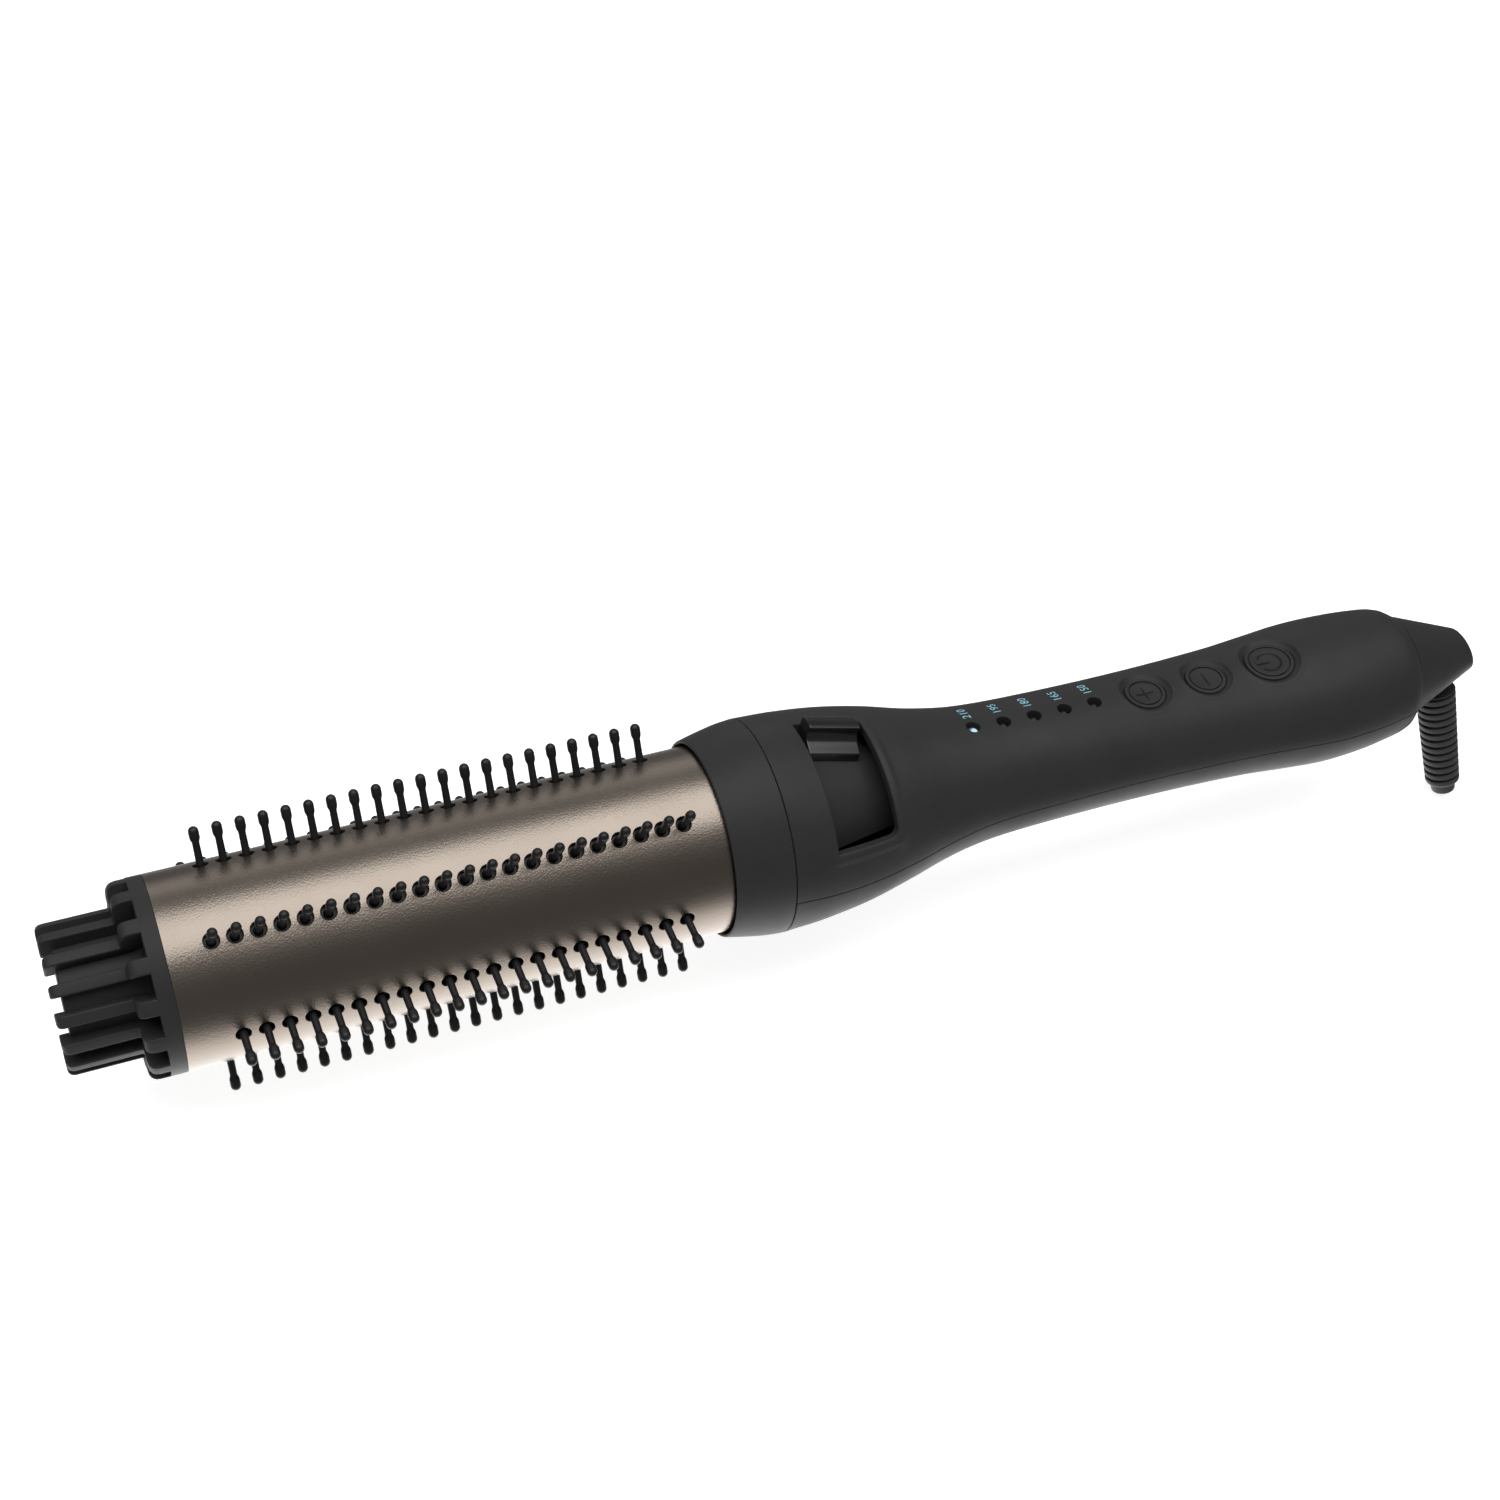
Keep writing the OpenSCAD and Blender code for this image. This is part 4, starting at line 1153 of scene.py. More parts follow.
@dataclass
class Handle:
    """The two handle shells and the collar in front of them."""

    wall: float = 2.0
    window_x: Pair = (146.9, 160.5)
    window_angles: Pair = (23.5, 107.0)
    window_corner: Pair = (0.35, 1.7)
    window_radius: float = 20.0
    window_rings: tuple[float, ...] = (0.35, 0.75, 1.2, 1.8, 2.5)
    window_steps: tuple[int, int] = (10, 24)
    lip_height: float = 0.32
    lip_out: float = 1.1
    lip_spread: float = 0.9
    lip_reach: float = 4.0
    mean_radius: float = 16.0
    edge_rounding: float = 0.22
    bowl_rings: tuple[float, ...] = (0.2, 0.4, 0.6, 0.8, 0.95, 1.1, 1.25, 1.5, 1.9, 2.5)
    led_radius: float = 1.5
    led_pitch: float = 6.98
    led_x: float = 184.6
    led_count: int = 5
    screw_x: Pair = (175.9, 266.5)
    screw_hole: float = 2.8
    screw_points: int = 40
    tail_wall_radii: Pair = (11.8, 6.1)
    tail_wall_x: Pair = (TAIL_X - 4.5, TAIL_X - 0.25)

    def window_outside(self, x: float, angle: float) -> float:
        """Distance of a point outside the lever window.

        Args:
            x: Station of the point.
            angle: Its angle round the axis.

        Returns:
            The distance in millimetres, below zero inside.
        """
        x0, x1 = self.window_x
        a0, a1 = (math.radians(a) for a in self.window_angles)
        dx = max(x0 - x, x - x1)
        da = max(a0 - angle, angle - a1) * self.window_radius
        return math.hypot(max(dx, 0), max(da, 0)) if max(dx, da) > 0 else max(dx, da)

    def lip(self, x: float, angle: float) -> float:
        """Height of the raised lip on the window's tail side and lower side.

        Args:
            x: Station of the point.
            angle: Its angle round the axis.

        Returns:
            The height in millimetres.
        """
        x1, a0 = self.window_x[1], math.radians(self.window_angles[0])
        away = self.window_outside(x, angle)
        if away > self.lip_reach or angle > math.radians(self.window_angles[1]):
            return 0.0
        side = max(x - x1, (a0 - angle) * self.window_radius)
        share = min(1.0, max(0.0, side / max(away, 0.2)))
        return self.lip_height * share * bell(away - self.lip_out, self.lip_spread)

    def place_top(self, x: float, angle: float, depth: float) -> Vector:
        """Point of the upper shell.

        Args:
            x: Station of the point.
            angle: Its angle round the axis.
            depth: Depth below the surface.

        Returns:
            The point in millimetres.
        """
        r = OUTLINE.radius(x, angle)
        y = -r * math.cos(angle)
        r += self.lip(x, angle) - depth - sum(button.sink(x, y) for button in BUTTONS)
        return polar(x, r, angle)

    def place_bottom(self, x: float, angle: float, depth: float) -> Vector:
        """Point of the lower shell at a depth."""
        return polar(x, OUTLINE.radius(x, angle) - depth, angle)

    def round_hole(self, x: float, radius: float, rings: tuple[float, ...]) -> Opening:
        """A hole that goes straight down through the upper shell.

        Args:
            x: Station of its centre.
            radius: Its radius.
            rings: Distances of the support rings round it.

        Returns:
            The opening.
        """
        count = 32 if radius < 3 else 64

        def edge(distance: float) -> list[Pair]:
            """Circle round the hole.

            Args:
                distance: Distance outside the hole's edge.

            Returns:
                The points as (x, angle).
            """
            r = radius + distance
            points = [(x + r * math.cos(t), r * math.sin(t)) for t in circle(count)]
            return [(px, OUTLINE.angle(px, py)) for px, py in points]

        def outside(px: float, angle: float) -> float:
            """Distance of a point outside the hole."""
            return math.hypot(px - x, OUTLINE.radius(px, angle) * math.cos(angle)) - radius

        return Opening(rings, edge, outside)

    def window(self) -> Opening:
        """The lever window with rounded corners.

        Returns:
            The opening.
        """
        (x0, x1), mean = self.window_x, self.window_radius
        s0, s1 = (math.radians(a) * mean for a in self.window_angles)

        def edge(distance: float) -> list[Pair]:
            """Rounded rectangle round the window.

            Args:
                distance: Distance outside the window's edge.

            Returns:
                The points as (x, angle).
            """
            front, back = (corner + distance for corner in self.window_corner)
            a0, a1 = x0 - distance, x1 + distance
            b0, b1 = s0 - distance, s1 + distance
            centres = (
                (a1 - back, b1 - back, back),
                (a0 + front, b1 - front, front),
                (a0 + front, b0 + front, front),
                (a1 - back, b0 + back, back),
            )
            points: list[Pair] = []
            for quarter, (cx, cs, corner) in enumerate(centres):
                for k in range(7):
                    t = RIGHT * (quarter + k / 6)
                    points.append((cx + corner * math.cos(t), cs + corner * math.sin(t)))
                nx, ns, following = centres[(quarter + 1) % 4]
                t = RIGHT * (quarter + 1)
                ax, bx = cx + corner * math.cos(t), nx + following * math.cos(t)
                ay, by = cs + corner * math.sin(t), ns + following * math.sin(t)
                steps = self.window_steps[quarter % 2]
                points += [(ax + (bx - ax) * k / steps, ay + (by - ay) * k / steps) for k in range(1, steps)]
            return [(px, ps / mean) for px, ps in points]

        return Opening(self.window_rings, edge, self.window_outside)

    def screw_opening(self, x: float) -> Opening:
        """A screw hole in the lower shell.

        Args:
            x: Station of the screw.

        Returns:
            The opening.
        """
        mean = OUTLINE.value(x, 3)

        def edge(distance: float) -> list[Pair]:
            """Circle round the hole.

            Args:
                distance: Distance outside the hole's edge.

            Returns:
                The points as (x, angle).
            """
            r = self.screw_hole + distance
            turns = circle(self.screw_points)
            return [(x + r * math.cos(t), DOWN + math.asin(r * math.sin(t) / mean)) for t in turns]

        def outside(px: float, angle: float) -> float:
            """Distance of a point outside the hole."""
            return math.hypot(px - x, (angle - DOWN) * mean) - self.screw_hole

        return Opening((0.5,), edge, outside)

    def led_stations(self) -> list[float]:
        """Stations of the lamps."""
        return [self.led_x + k * self.led_pitch for k in range(self.led_count)]

    def shell(
        self,
        place: Callable[[float, float, float], Vector],
        angle_span: Pair,
        step: float,
        openings: list[Opening],
    ) -> Form:
        """Builds one shell of the handle.

        Args:
            place: Point of the shell at a station, angle and depth.
            angle_span: The shell's two edges.
            step: Size of its triangles.
            openings: Its openings.

        Returns:
            The shell's form.
        """
        skin = Skin(
            place,
            x_span=(SEAM_X, TAIL_X),
            angle_span=angle_span,
            radius=self.mean_radius,
            step=step,
            openings=openings,
            rounding=self.edge_rounding,
            wall=self.wall,
        )
        return skin.build()

    def top(self) -> None:
        """Builds the upper shell with the window, the lamp holes and the button bowls."""
        openings = [self.window()]
        openings += [self.round_hole(x, self.led_radius, (0.4,)) for x in self.led_stations()]
        openings += [self.round_hole(b.x, b.radius + b.gap, self.bowl_rings) for b in BUTTONS]
        form = self.shell(self.place_top, (0.0, math.pi), 1.5, openings)
        form.piece("upper_shell", "casing", BLACK, ["top_housing"])

    def bottom(self) -> None:
        """Builds the lower shell with its screw holes."""
        openings = [self.screw_opening(x) for x in self.screw_x]
        form = self.shell(self.place_bottom, (math.pi, TURN), 1.8, openings)
        form.piece("lower_shell", "casing", BLACK, ["bottom_housing"])

    def tail_wall(self) -> None:
        """Turns the wall that closes the tail round the swivel neck."""
        form = Form()
        (r, hole), (x0, x1) = self.tail_wall_radii, self.tail_wall_x
        form.lathe([(x0, r), (x1, r), (x1, hole), (x0, hole), (x0, r)], FINE // 2)
        form.piece("tail_wall", "casing", BLACK)

    def collar(self) -> None:
        """Turns the collar that joins the barrel to the handle."""
        inner = BARREL_R + 0.1
        back, shelf = SEAM_X - 0.15, LIP_X + 5.0
        profile = rounded([
            (LIP_X + 3.0, inner, 0),
            (LIP_X + 0.5, BARREL_R + 0.5, 0.2),
            (LIP_X, BARREL_R + 0.65, 0.2),
            (LIP_X, BARREL_R + 1.15, 0.5),
            (LIP_X + 4.0, 21.05, 3.0),
            (SEAM_X - 3.5, 21.85, 3.0),
            (back, 22.1, 0.25),
            (back, 20.4, 0),
            (shelf, 20.3, 0),
            (shelf, inner, 0),
            (LIP_X + 3.0, inner, 0),
        ], steps=6)
        form = Form()
        form.lathe(profile, FINE)
        form.piece("collar_ring", "casing", BLACK, ["collar"], crease=40)

    def build(self) -> None:
        """Builds the collar and both shells."""
        self.collar()
        self.top()
        self.bottom()
        self.tail_wall()


# ---- Controls ----


@dataclass
class Controls:
    """Buttons with their signs, drawn as dark strips of painted shade for their sunk grooves, and the printed
    heat settings.
    """

    settings: tuple[int, ...] = (210, 195, 180, 165, 150)
    digit_height: float = 1.9
    digit_size: float = 1.38
    digit_spacing: float = 1.05
    print_start: float = 2.6
    print_height: float = 0.02
    sink: float = 0.75
    crown: float = 0.55
    mark_width: float = 0.5
    mark_depths: Pair = (0.2, -0.02)
    mark_reach: float = 0.45
    power_reach: float = 0.48
    power_gap: float = 38.0
    dish: float = 0.6
    dish_share: float = 0.78
    skirt: float = 3.0

    def button_height(self, button: Button, x: float, y: float, low: float = 0.0) -> float:
        """Height of a button's face, which follows the handle.

        Args:
            button: The button.
            x: Station of the point.
            y: Its distance from the middle plane.
            low: Extra depth.

        Returns:
            The height in millimetres.
        """
        share = math.hypot(x - button.x, y) / button.radius
        dish = self.dish * max(0.0, 1 - (share / self.dish_share) ** 2)
        surface = OUTLINE.height(x, y) * self.crown + OUTLINE.height(x, 0) * (1 - self.crown)
        return surface - self.sink - dish - low

    def cap(self, button: Button) -> None:
        """Builds a button with an edge ring, a groove and a dished middle.

        Args:
            button: The button.
        """
        r, form = button.radius, Form()
        foot = OUTLINE.height(button.x, 0) - self.skirt
        steps = [
            (r, None), (r, 0.25), (r - 0.04, 0.1), (r - 0.12, 0.03), (r - 0.25, 0.0),
            (r - 0.7, 0.0), (r - 0.78, 0.05), (r - 0.82, 0.45), (r - 1.06, 0.45), (r - 1.1, 0.05),
            (r - 1.2, 0.0), (r * 0.6, 0.0), (r * 0.45, 0.0), (r * 0.3, 0.0), (r * 0.15, 0.0), (0.0, 0.0),
        ]
        rings = []
        for radius, low in steps:
            turns = circle(72) if radius else [0.0]
            flat = [(button.x + radius * math.cos(t), radius * math.sin(t)) for t in turns]
            heights = [foot if low is None else self.button_height(button, x, y, low) for x, y in flat]
            rings.append([Vector((x, y, height)) for (x, y), height in zip(flat, heights)])
        form.loft(rings)
        form.piece(f"{button.name}_button", f"{button.name}_key", BLACK, [f"button_{button.name}"], crease=50)

    def ribbon(self, form: Form, button: Button, path: Sequence[Pair]) -> None:
        """Adds a thin dark strip that lies in the button's face, painted shade that stands for a sunk groove.

        Args:
            form: The marks' form.
            button: The button.
            path: Middle line as (x, y) from the button's centre.
        """
        half = self.mark_width / 2
        deep, high = self.mark_depths
        rings = []
        for k, (x, y) in enumerate(path):
            before, after = path[max(k - 1, 0)], path[min(k + 1, len(path) - 1)]
            along = Vector((after[0] - before[0], after[1] - before[1])).normalized()
            across = Vector((-along.y, along.x)) * half
            ring = []
            for side, low in ((1, deep), (1, high), (-1, high), (-1, deep)):
                px, py = button.x + x + across.x * side, y + across.y * side
                ring.append(Vector((px, py, self.button_height(button, px, py, low))))
            rings.append(ring)
        form.loft(rings, ends=True)

    def marks(self, button: Button) -> None:
        """Builds the plus, minus or power sign of a button, in dark strips of painted shade.

        Args:
            button: The button.
        """
        form = Form()
        line = [button.radius * self.mark_reach * (k / 4 - 1) for k in range(9)]
        if button.name == "power":
            r = button.radius * self.power_reach
            gap = math.radians(self.power_gap)
            turns = [math.pi + gap + (TURN - 2 * gap) * k / 28 for k in range(29)]
            self.ribbon(form, button, [(r * math.cos(t), r * math.sin(t)) for t in turns])
            self.ribbon(form, button, [(-r * 1.15 + r * 1.2 * k / 8, 0.0) for k in range(9)])
        else:
            self.ribbon(form, button, [(0.0, y) for y in line])
            if button.name == "plus":
                self.ribbon(form, button, [(x, 0.0) for x in line])
        # The dark finish of the sign is painted shade for its sunk groove.
        form.piece(f"{button.name}_mark", f"{button.name}_key", DARK)

    def setting(self, number: int, x: float) -> None:
        """Prints a heat setting beside its lamp.

        Args:
            number: The setting in degrees.
            x: Station of the lamp.
        """
        text = bpy.data.curves.new(f"setting_{number}", "FONT")
        text.body = str(number)
        text.size = self.digit_height * self.digit_size
        text.space_character = self.digit_spacing
        text.resolution_u = 4
        holder = bpy.data.objects.new(f"setting_{number}_line", text)
        bpy.context.scene.collection.objects.link(holder)
        bpy.context.view_layer.update()
        drawn = holder.evaluated_get(bpy.context.evaluated_depsgraph_get()).to_mesh()
        form = Form()
        start = x + self.digit_height / 2
        flat = [(start - point.co.y, self.print_start + point.co.x) for point in drawn.vertices]
        form.add(Vector((px, py, OUTLINE.height(px, py) + self.print_height)) for px, py in flat)
        form.faces = [tuple(face.vertices) for face in drawn.polygons]
        holder.to_mesh_clear()
        bpy.data.objects.remove(holder)
        form.piece(f"setting_{number}", "casing", Ink())

    def build(self, handle: Handle) -> None:
        """Builds the buttons and prints the settings.

        Args:
            handle: The handle they belong to.
        """
        for button in BUTTONS:
            self.cap(button)
            self.marks(button)
        for number, x in zip(self.settings, handle.led_stations()):
            self.setting(number, x)


# ---- Lever ----


@dataclass
class Lever:
    """The thumb lever in the handle's window."""

    start: float = 147.25
    turn: float = 6.0
    length: float = 11.0
    overhang: float = 0.2
    softness: float = 0.45
    shield_start: float = 145.5
    shield_radius: float = 18.3
    shield_slope: float = 0.29

    def build(self) -> None:
        """Builds the thumb block, which slopes with its shield."""
        profile = rounded([
            (2.9, -1.0, 0),
            (2.9, 5.7, 0.9),
            (0.2, 5.75, 0.5),
            (-1.2, 5.35, 0.35),
            (-0.75, 3.9, 0.6),
            (-1.5, 2.5, 0.9),
            (-2.6, 1.9, 0.5),
            (-4.2, 1.2, 0.4),
            (-4.2, -1.0, 0),
        ], closed=True)
        lean = math.atan(self.shield_slope)
        radius = self.shield_radius - self.shield_slope * (self.start - self.shield_start)
        stand = Matrix.Translation((self.start, 0, radius)) @ Matrix.Rotation(lean, 4, "Y")
        place = roll(self.turn) @ stand
        ends = (-self.overhang, self.length / math.cos(lean) - self.overhang)
        form = Form()
        form.loft([[place @ Vector((x, y, z)) for y, z in profile] for x in ends], ends=True)
        piece = form.piece("thumb_block", "lever", GLOSS, ["thumb_lever"])
        soften(piece, self.softness, 3)


# ---- Cord outlet ----


@dataclass
class CordOutlet:
    """The swivelling cone and the ribbed strain relief that hangs from it."""

    roll: float = 17.8
    lean: float = 9.3
    cone_start: float = low_x("swivel_cone")
    cone_radius: float = 11.7
    cone_slope: float = 0.385
    cone_length: float = 18.1
    cone_tilt: float = -17.0
    cone_wall: float = 1.6
    neck_share: float = 0.48
    edge: float = 0.55
    edge_share: float = 0.97
    edge_steps: int = 6
    slot_middle: float = 11.7
    slot_half: Pair = (4.6, 3.0)
    slot_radius: float = 7.6
    slot_points: int = 40
    pivot: float = TAIL_X + 11
    ball: float = 4.25
    ball_back: Pair = (3.6, 2.2)
    neck_start: float = 3.4
    ribs: int = 13
    rib_pitch: float = 1.83
    first_rib: float = 0.6
    groove_half: Pair = (0.36, 0.26)
    groove_depth: float = 0.75
    relief_start: float = 8.2
    relief_end: float = 32.4
    nose_end: float = 35.0
    top_radius: float = 4.4
    end_radius: float = 3.76
    nose_radius: float = 2.6
    cord_radius: float = 2.1

    def cone_end(self, angle: float) -> float:
        """Station where the cone's flank meets its oblique end.

        Args:
            angle: Angle round the axis.

        Returns:
            The station in millimetres.
        """
        tilt = math.tan(math.radians(self.cone_tilt)) * math.sin(angle)
        tip = self.cone_start + self.cone_length
        reach = self.cone_radius + self.cone_slope * self.cone_start
        return (tip + tilt * reach) / (1 + tilt * self.cone_slope)

    def cone_point(self, x: float, angle: float, depth: float) -> Vector:
        """Point of the cone's flank.

        Args:
            x: Station, which runs as if the cone ended square.
            angle: Its angle round the axis.
            depth: Depth below the surface.

        Returns:
            The point in millimetres.
        """
        share = (x - self.cone_start) / self.cone_length
        station = self.cone_start + (self.cone_end(angle) - self.cone_start) * share
        r = self.cone_radius - self.cone_slope * (station - self.cone_start) - depth
        return roll(self.roll) @ polar(station, r, angle)

    def slot(self) -> Opening:
        """The slot under the cone that the strain relief swings in.

        Returns:
            The opening.
        """
        middle, mean = self.cone_start + self.slot_middle, self.slot_radius
        half_length, half_width = self.slot_half
        straight = half_length - half_width

        def edge(distance: float) -> list[Pair]:
            """Long rounded loop round the slot.

            Args:
                distance: Distance outside the slot's edge.

            Returns:
                The points as (x, angle).
            """
            r = half_width + distance
            points = []
            for t in circle(self.slot_points):
                reach = straight if math.cos(t) > 0 else -straight
                points.append((middle + reach + r * math.cos(t), DOWN + r * math.sin(t) / mean))
            return points

        def outside(px: float, angle: float) -> float:
            """Distance of a point outside the slot."""
            along = max(abs(px - middle) - straight, 0)
            return math.hypot(along, (angle - DOWN) * mean) - half_width

        return Opening((0.5,), edge, outside)

    def cone(self) -> None:
        """Builds the cone with its rounded oblique end and the ring that closes it to the neck."""
        start = RIGHT / 3
        skin = Skin(
            self.cone_point,
            x_span=(self.cone_start, self.cone_start + self.cone_length * self.edge_share),
            angle_span=(start, start + TURN),
            radius=11.0,
            step=1.3,
            openings=[self.slot()],
            rounding=0.3,
            wall=self.cone_wall,
            closed=True,
        )
        form = skin.build()
        self.close_end(form, skin.ends[True], start)
        rim = skin.ends[False]
        narrow = Matrix.Diagonal((1, self.neck_share, self.neck_share))
        form.strip(rim, form.add([narrow @ form.points[k] for k in rim]))
        form.piece("outlet_cone", "swivel", BLACK, ["swivel_cone"])

    def close_end(self, form: Form, ring: list[int], start: float) -> None:
        """Rounds the edge of the oblique end and fills it.

        Args:
            form: The cone's form.
            ring: Numbers of the points at the flank's end.
            start: Angle of the first of them.
        """
        middle = self.end_middle()
        full = self.cone_start + self.cone_length
        near = self.cone_start + self.cone_length * self.edge_share
        for step in range(1, self.edge_steps + 1):
            t = step / self.edge_steps
            points = []
            for turn in circle(len(ring)):
                a = self.cone_point(near, start + turn, 0)
                corner = self.cone_point(full, start + turn, 0)
                b = corner + (middle - corner).normalized() * self.edge
                points.append(a * (1 - t) ** 2 + corner * 2 * t * (1 - t) + b * t * t)
            following = form.add(points)
            form.strip(ring, following)
            ring = following
        halfway = form.add([form.points[k].lerp(middle, 0.5) for k in ring])
        form.strip(ring, halfway)
        form.strip(halfway, form.add([middle]))

    def end_middle(self) -> Vector:
        """Middle of the oblique end."""
        points = [self.cone_point(self.cone_start + self.cone_length, turn, 0) for turn in circle(24)]
        return sum(points, Vector()) / len(points)

    def relief_outline(self) -> list[Pair]:
        """Outline of the strain relief: its ball, neck, grooves and nose.

        Returns:
            Points as (distance below the pivot, radius).
        """
        fall = (self.top_radius - self.end_radius) / (self.relief_end - self.relief_start)
        depth, (wide, narrow) = self.groove_depth, self.groove_half
        corners = [
            (self.neck_start, self.nose_radius, 0),
            (self.relief_start, self.nose_radius, 0),
            (self.relief_start, self.top_radius, 0.4),
        ]
        for k in range(self.ribs):
            s = self.relief_start + self.first_rib + k * self.rib_pitch
            r = self.top_radius - fall * (s - self.relief_start)
            corners += [
                (s - wide, r, 0.12),
                (s - narrow, r - depth, 0.1),
                (s + narrow, r - depth, 0.1),
                (s + wide, r, 0.12),
            ]
        bore_end = self.relief_end - 4
        corners += [
            (self.relief_end, self.end_radius, 1.0),
            (self.relief_end + 0.25, self.nose_radius + 0.2, 0.2),
            (self.nose_end, self.nose_radius, 0.6),
            (self.nose_end, self.cord_radius, 0.1),
            (bore_end, self.cord_radius, 0),
            (bore_end, 0, 0),
        ]
        turns = [math.radians(130 - k * 10) for k in range(8)]
        back, back_radius = self.ball_back
        ball = [(self.ball * math.cos(t), self.ball * math.sin(t)) for t in turns]
        low = [point for point in ball if point[0] < self.neck_start - 0.1]
        return [(-back - 0.4, 0.0), (-back, back_radius), *low, *rounded(corners)]

    def relief(self) -> None:
        """Turns the strain relief and hangs it from its pivot."""
        lean = math.radians(self.lean)
        down = roll(self.roll) @ Vector((math.sin(lean), 0, -math.cos(lean)))
        turn = Vector((1, 0, 0)).rotation_difference(down).to_matrix().to_4x4()
        form = Form()
        form.lathe(self.relief_outline(), 64, Matrix.Translation((self.pivot, 0, 0)) @ turn)
        form.piece("ribbed_relief", "relief", RELIEF, ["strain_relief"], crease=45)

    def build(self) -> None:
        """Builds the cone and the strain relief."""
        self.cone()
        self.relief()


# ---- Pieces kept from the frame ----


@dataclass
class InnerWorks:
    """CAD pieces that stay as they are and only get their finish."""

    lamp_x: float
    lens_depth: float = 0.9
    glow_shift: Pair = (0.25, -0.45)

    def finishes(self) -> dict[str, Finish]:
        """The finish of each kept piece.

        Returns:
            Finishes by CAD node.
        """
        lens = OUTLINE.height(self.lamp_x, 0) - self.lens_depth
        centre = (self.lamp_x + self.glow_shift[0], self.glow_shift[1], lens)
        lit = LampFinish(Slot.LIT, (0.02, 0.03, 0.035), 0.35, strength=0.95, centre=centre)
        found = {
            "front_guide": HEAT, "rear_guide": HEAT, "shaft_bracket": HEAT,
            "cam_shaft": STEEL, "front_cam": STEEL, "rear_cam": STEEL, "lever_screw": STEEL,
            "bracket_screws": STEEL, "board_screws": STEEL, "housing_screws": STEEL,
            "lever_shield": BLACK, "barrel_mount": BLACK, "swivel_neck": BLACK,
            "heater_bar_1": FILM, "heater_bar_2": FILM, "heater_bar_3": FILM,
            "temperature_sensor": SENSOR, "thermal_fuse": WHITE, "heater_leads": WHITE,
            "contact_block": WHITE,
            "detent_spring": BRASS, "contact_springs": BRASS, "slip_rings": BRASS,
            "circuit_board": BOARD, "power_parts": PART, "supply_leads": LEAD,
            "switch_plus": DARK, "switch_minus": DARK, "switch_power": DARK,
            "indicator_1": lit,
        }
        found.update({f"indicator_{k}": DARK for k in range(2, 6)})
        return found

    def build(self) -> None:
        """Dresses the kept pieces."""
        for node, finish in self.finishes().items():
            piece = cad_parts[node]
            piece.data.materials.clear()
            piece.data.materials.append(finish.material())
            log.info("%s: kept, %s", node, finish.slot.value)


# ---- Studio ----


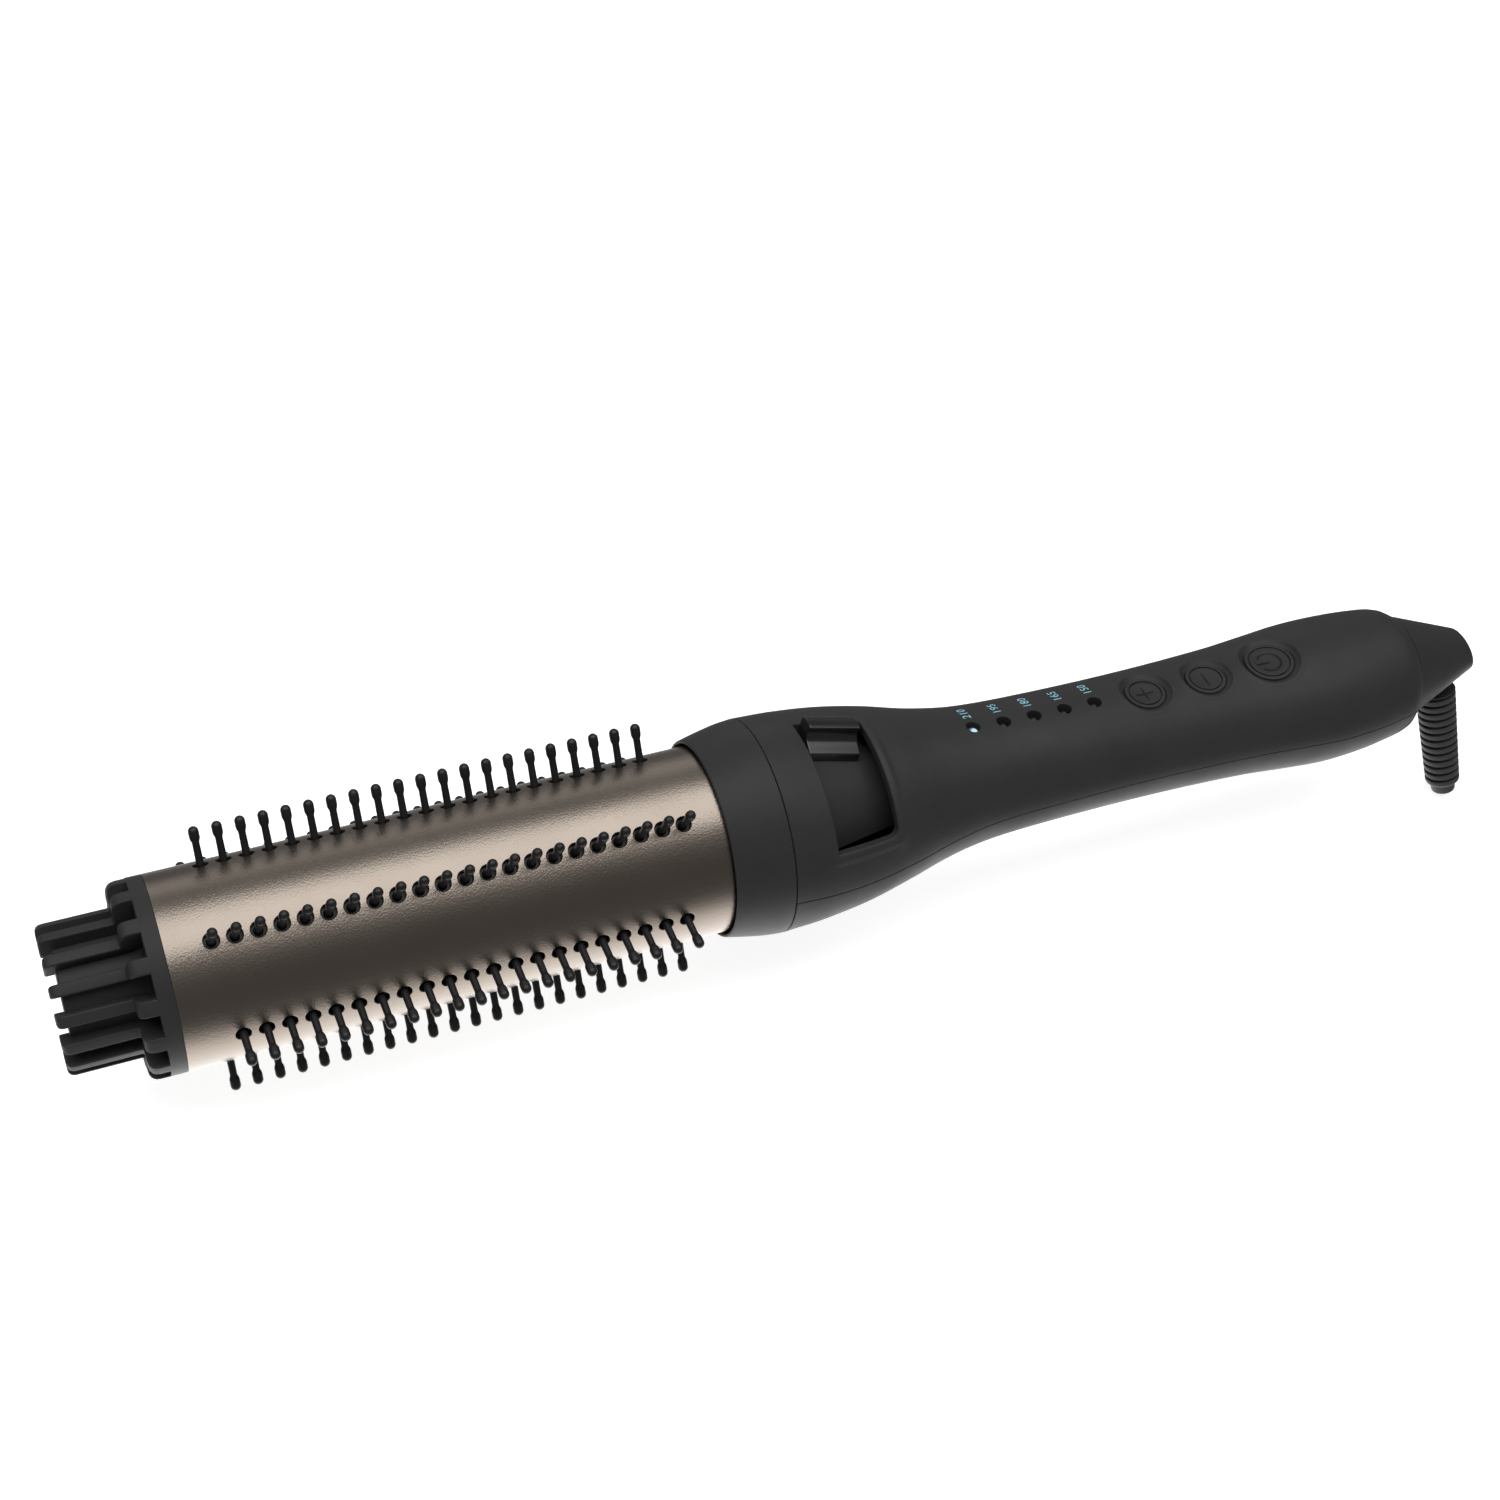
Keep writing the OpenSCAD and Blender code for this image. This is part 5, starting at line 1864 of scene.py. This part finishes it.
@dataclass
class Studio:
    """A pale floor, soft lights and the camera."""

    eye: Triple = (-0.003591, -0.306754, 0.354195)
    right: Triple = (0.92966, -0.36469, 0.05225)
    view: Triple = (0.29391, 0.64863, -0.70207)
    lens: float = 58.4
    sensor: float = 36.0
    floor_size: float = 6.0
    floor_gap: float = 0.0004
    floor_grey: Colour = (0.6, 0.6, 0.6)
    floor_glow: float = 0.85
    room: tuple[Pair, ...] = (
        (0.01, 2.6), (0.1, 2.0), (0.17, 1.1), (0.25, 0.32),
        (0.36, 0.17), (0.75, 0.15), (0.9, 0.3), (0.99, 0.4),
    )

    def floor(self) -> None:
        """Lays the pale floor."""
        low = CAD_BOX[0].z - self.floor_gap
        size = self.floor_size
        mesh = bpy.data.meshes.new("floor")
        corners = [(-size, -size, low), (size, -size, low), (size, size, low), (-size, size, low)]
        mesh.from_pydata(corners, [], [(0, 1, 2, 3)])
        made = bpy.data.objects.new("floor", mesh)
        bpy.context.scene.collection.objects.link(made)
        material = bpy.data.materials.new("floor_paper")
        nodes = NodeTree(material)
        shader = nodes.add("ShaderNodeBsdfPrincipled")
        shader.inputs["Base Color"].default_value = (*self.floor_grey, 1)
        shader.inputs["Roughness"].default_value = 0.9
        shader.inputs["Specular IOR Level"].default_value = 0.1
        shader.inputs["Emission Color"].default_value = (1, 1, 1, 1)
        shader.inputs["Emission Strength"].default_value = self.floor_glow
        nodes.join(shader.outputs["BSDF"], nodes.out.inputs["Surface"])
        mesh.materials.append(material)
        made.visible_glossy = False

    def lamp(self, name: str, place: Sequence[float], aim: Sequence[float], size: Pair, power: float) -> None:
        """Hangs a soft rectangular light.

        Args:
            name: The light's name.
            place: Where it hangs, in metres.
            aim: The point it shines at.
            size: Its width and height.
            power: Its power in watts.
        """
        data = bpy.data.lights.new(name, "AREA")
        data.shape = "RECTANGLE"
        data.size, data.size_y = size
        data.energy = power
        made = bpy.data.objects.new(name, data)
        made.location = place
        direction = Vector(aim) - Vector(place)
        made.rotation_euler = direction.to_track_quat("-Z", "Y").to_euler()
        bpy.context.scene.collection.objects.link(made)

    def lights(self) -> None:
        """Sets the room's light and hangs the lamps."""
        world = bpy.data.worlds.new("studio")
        bpy.context.scene.world = world
        world.use_nodes = True
        tree = world.node_tree
        place = tree.nodes.new("ShaderNodeTexCoord")
        split = tree.nodes.new("ShaderNodeSeparateXYZ")
        height = tree.nodes.new("ShaderNodeMapRange")
        height.inputs["From Min"].default_value = -1
        ramp = tree.nodes.new("ShaderNodeValToRGB")
        tree.links.new(place.outputs["Generated"], split.inputs["Vector"])
        tree.links.new(split.outputs["Z"], height.inputs["Value"])
        tree.links.new(height.outputs["Result"], ramp.inputs["Fac"])
        tree.links.new(ramp.outputs["Color"], tree.nodes["Background"].inputs["Color"])
        stops = ramp.color_ramp.elements
        for position, level in self.room:
            stop = stops.new(position)
            stop.color = (level, level, level, 1)
        stops.remove(stops[0])
        stops.remove(stops[-1])
        self.lamp("top_softbox", (0.15, -0.03, 0.8), (0.15, -0.03, 0), (1.6, 0.74), 8)
        self.lamp("back_softbox", (0.3, 1.1, 0.5), (0.15, 0, 0), (1.2, 0.5), 1.2)

    def camera(self) -> None:
        """Places the camera."""
        data = bpy.data.cameras.new("camera")
        data.lens = self.lens
        data.sensor_width = self.sensor
        data.clip_start, data.clip_end = 0.01, 50
        made = bpy.data.objects.new("camera", data)
        right, view = Vector(self.right).normalized(), Vector(self.view).normalized()
        up = right.cross(view)
        turn = Matrix((right, up, -view)).transposed().to_4x4()
        made.matrix_world = Matrix.Translation(self.eye) @ turn
        bpy.context.scene.collection.objects.link(made)
        bpy.context.scene.camera = made

    def build(self) -> None:
        """Builds the studio."""
        bpy.context.scene.view_settings.view_transform = "Standard"
        self.floor()
        self.lights()
        self.camera()


def main() -> None:
    """Builds every piece in order."""
    logging.basicConfig(level=logging.INFO, format="%(message)s")
    FingerCap().build()
    Barrel().build()
    handle = Handle()
    handle.build()
    Controls().build(handle)
    Lever().build()
    CordOutlet().build()
    InnerWorks(handle.led_x).build()
    Studio().build()


if __name__ == "__main__":
    main()
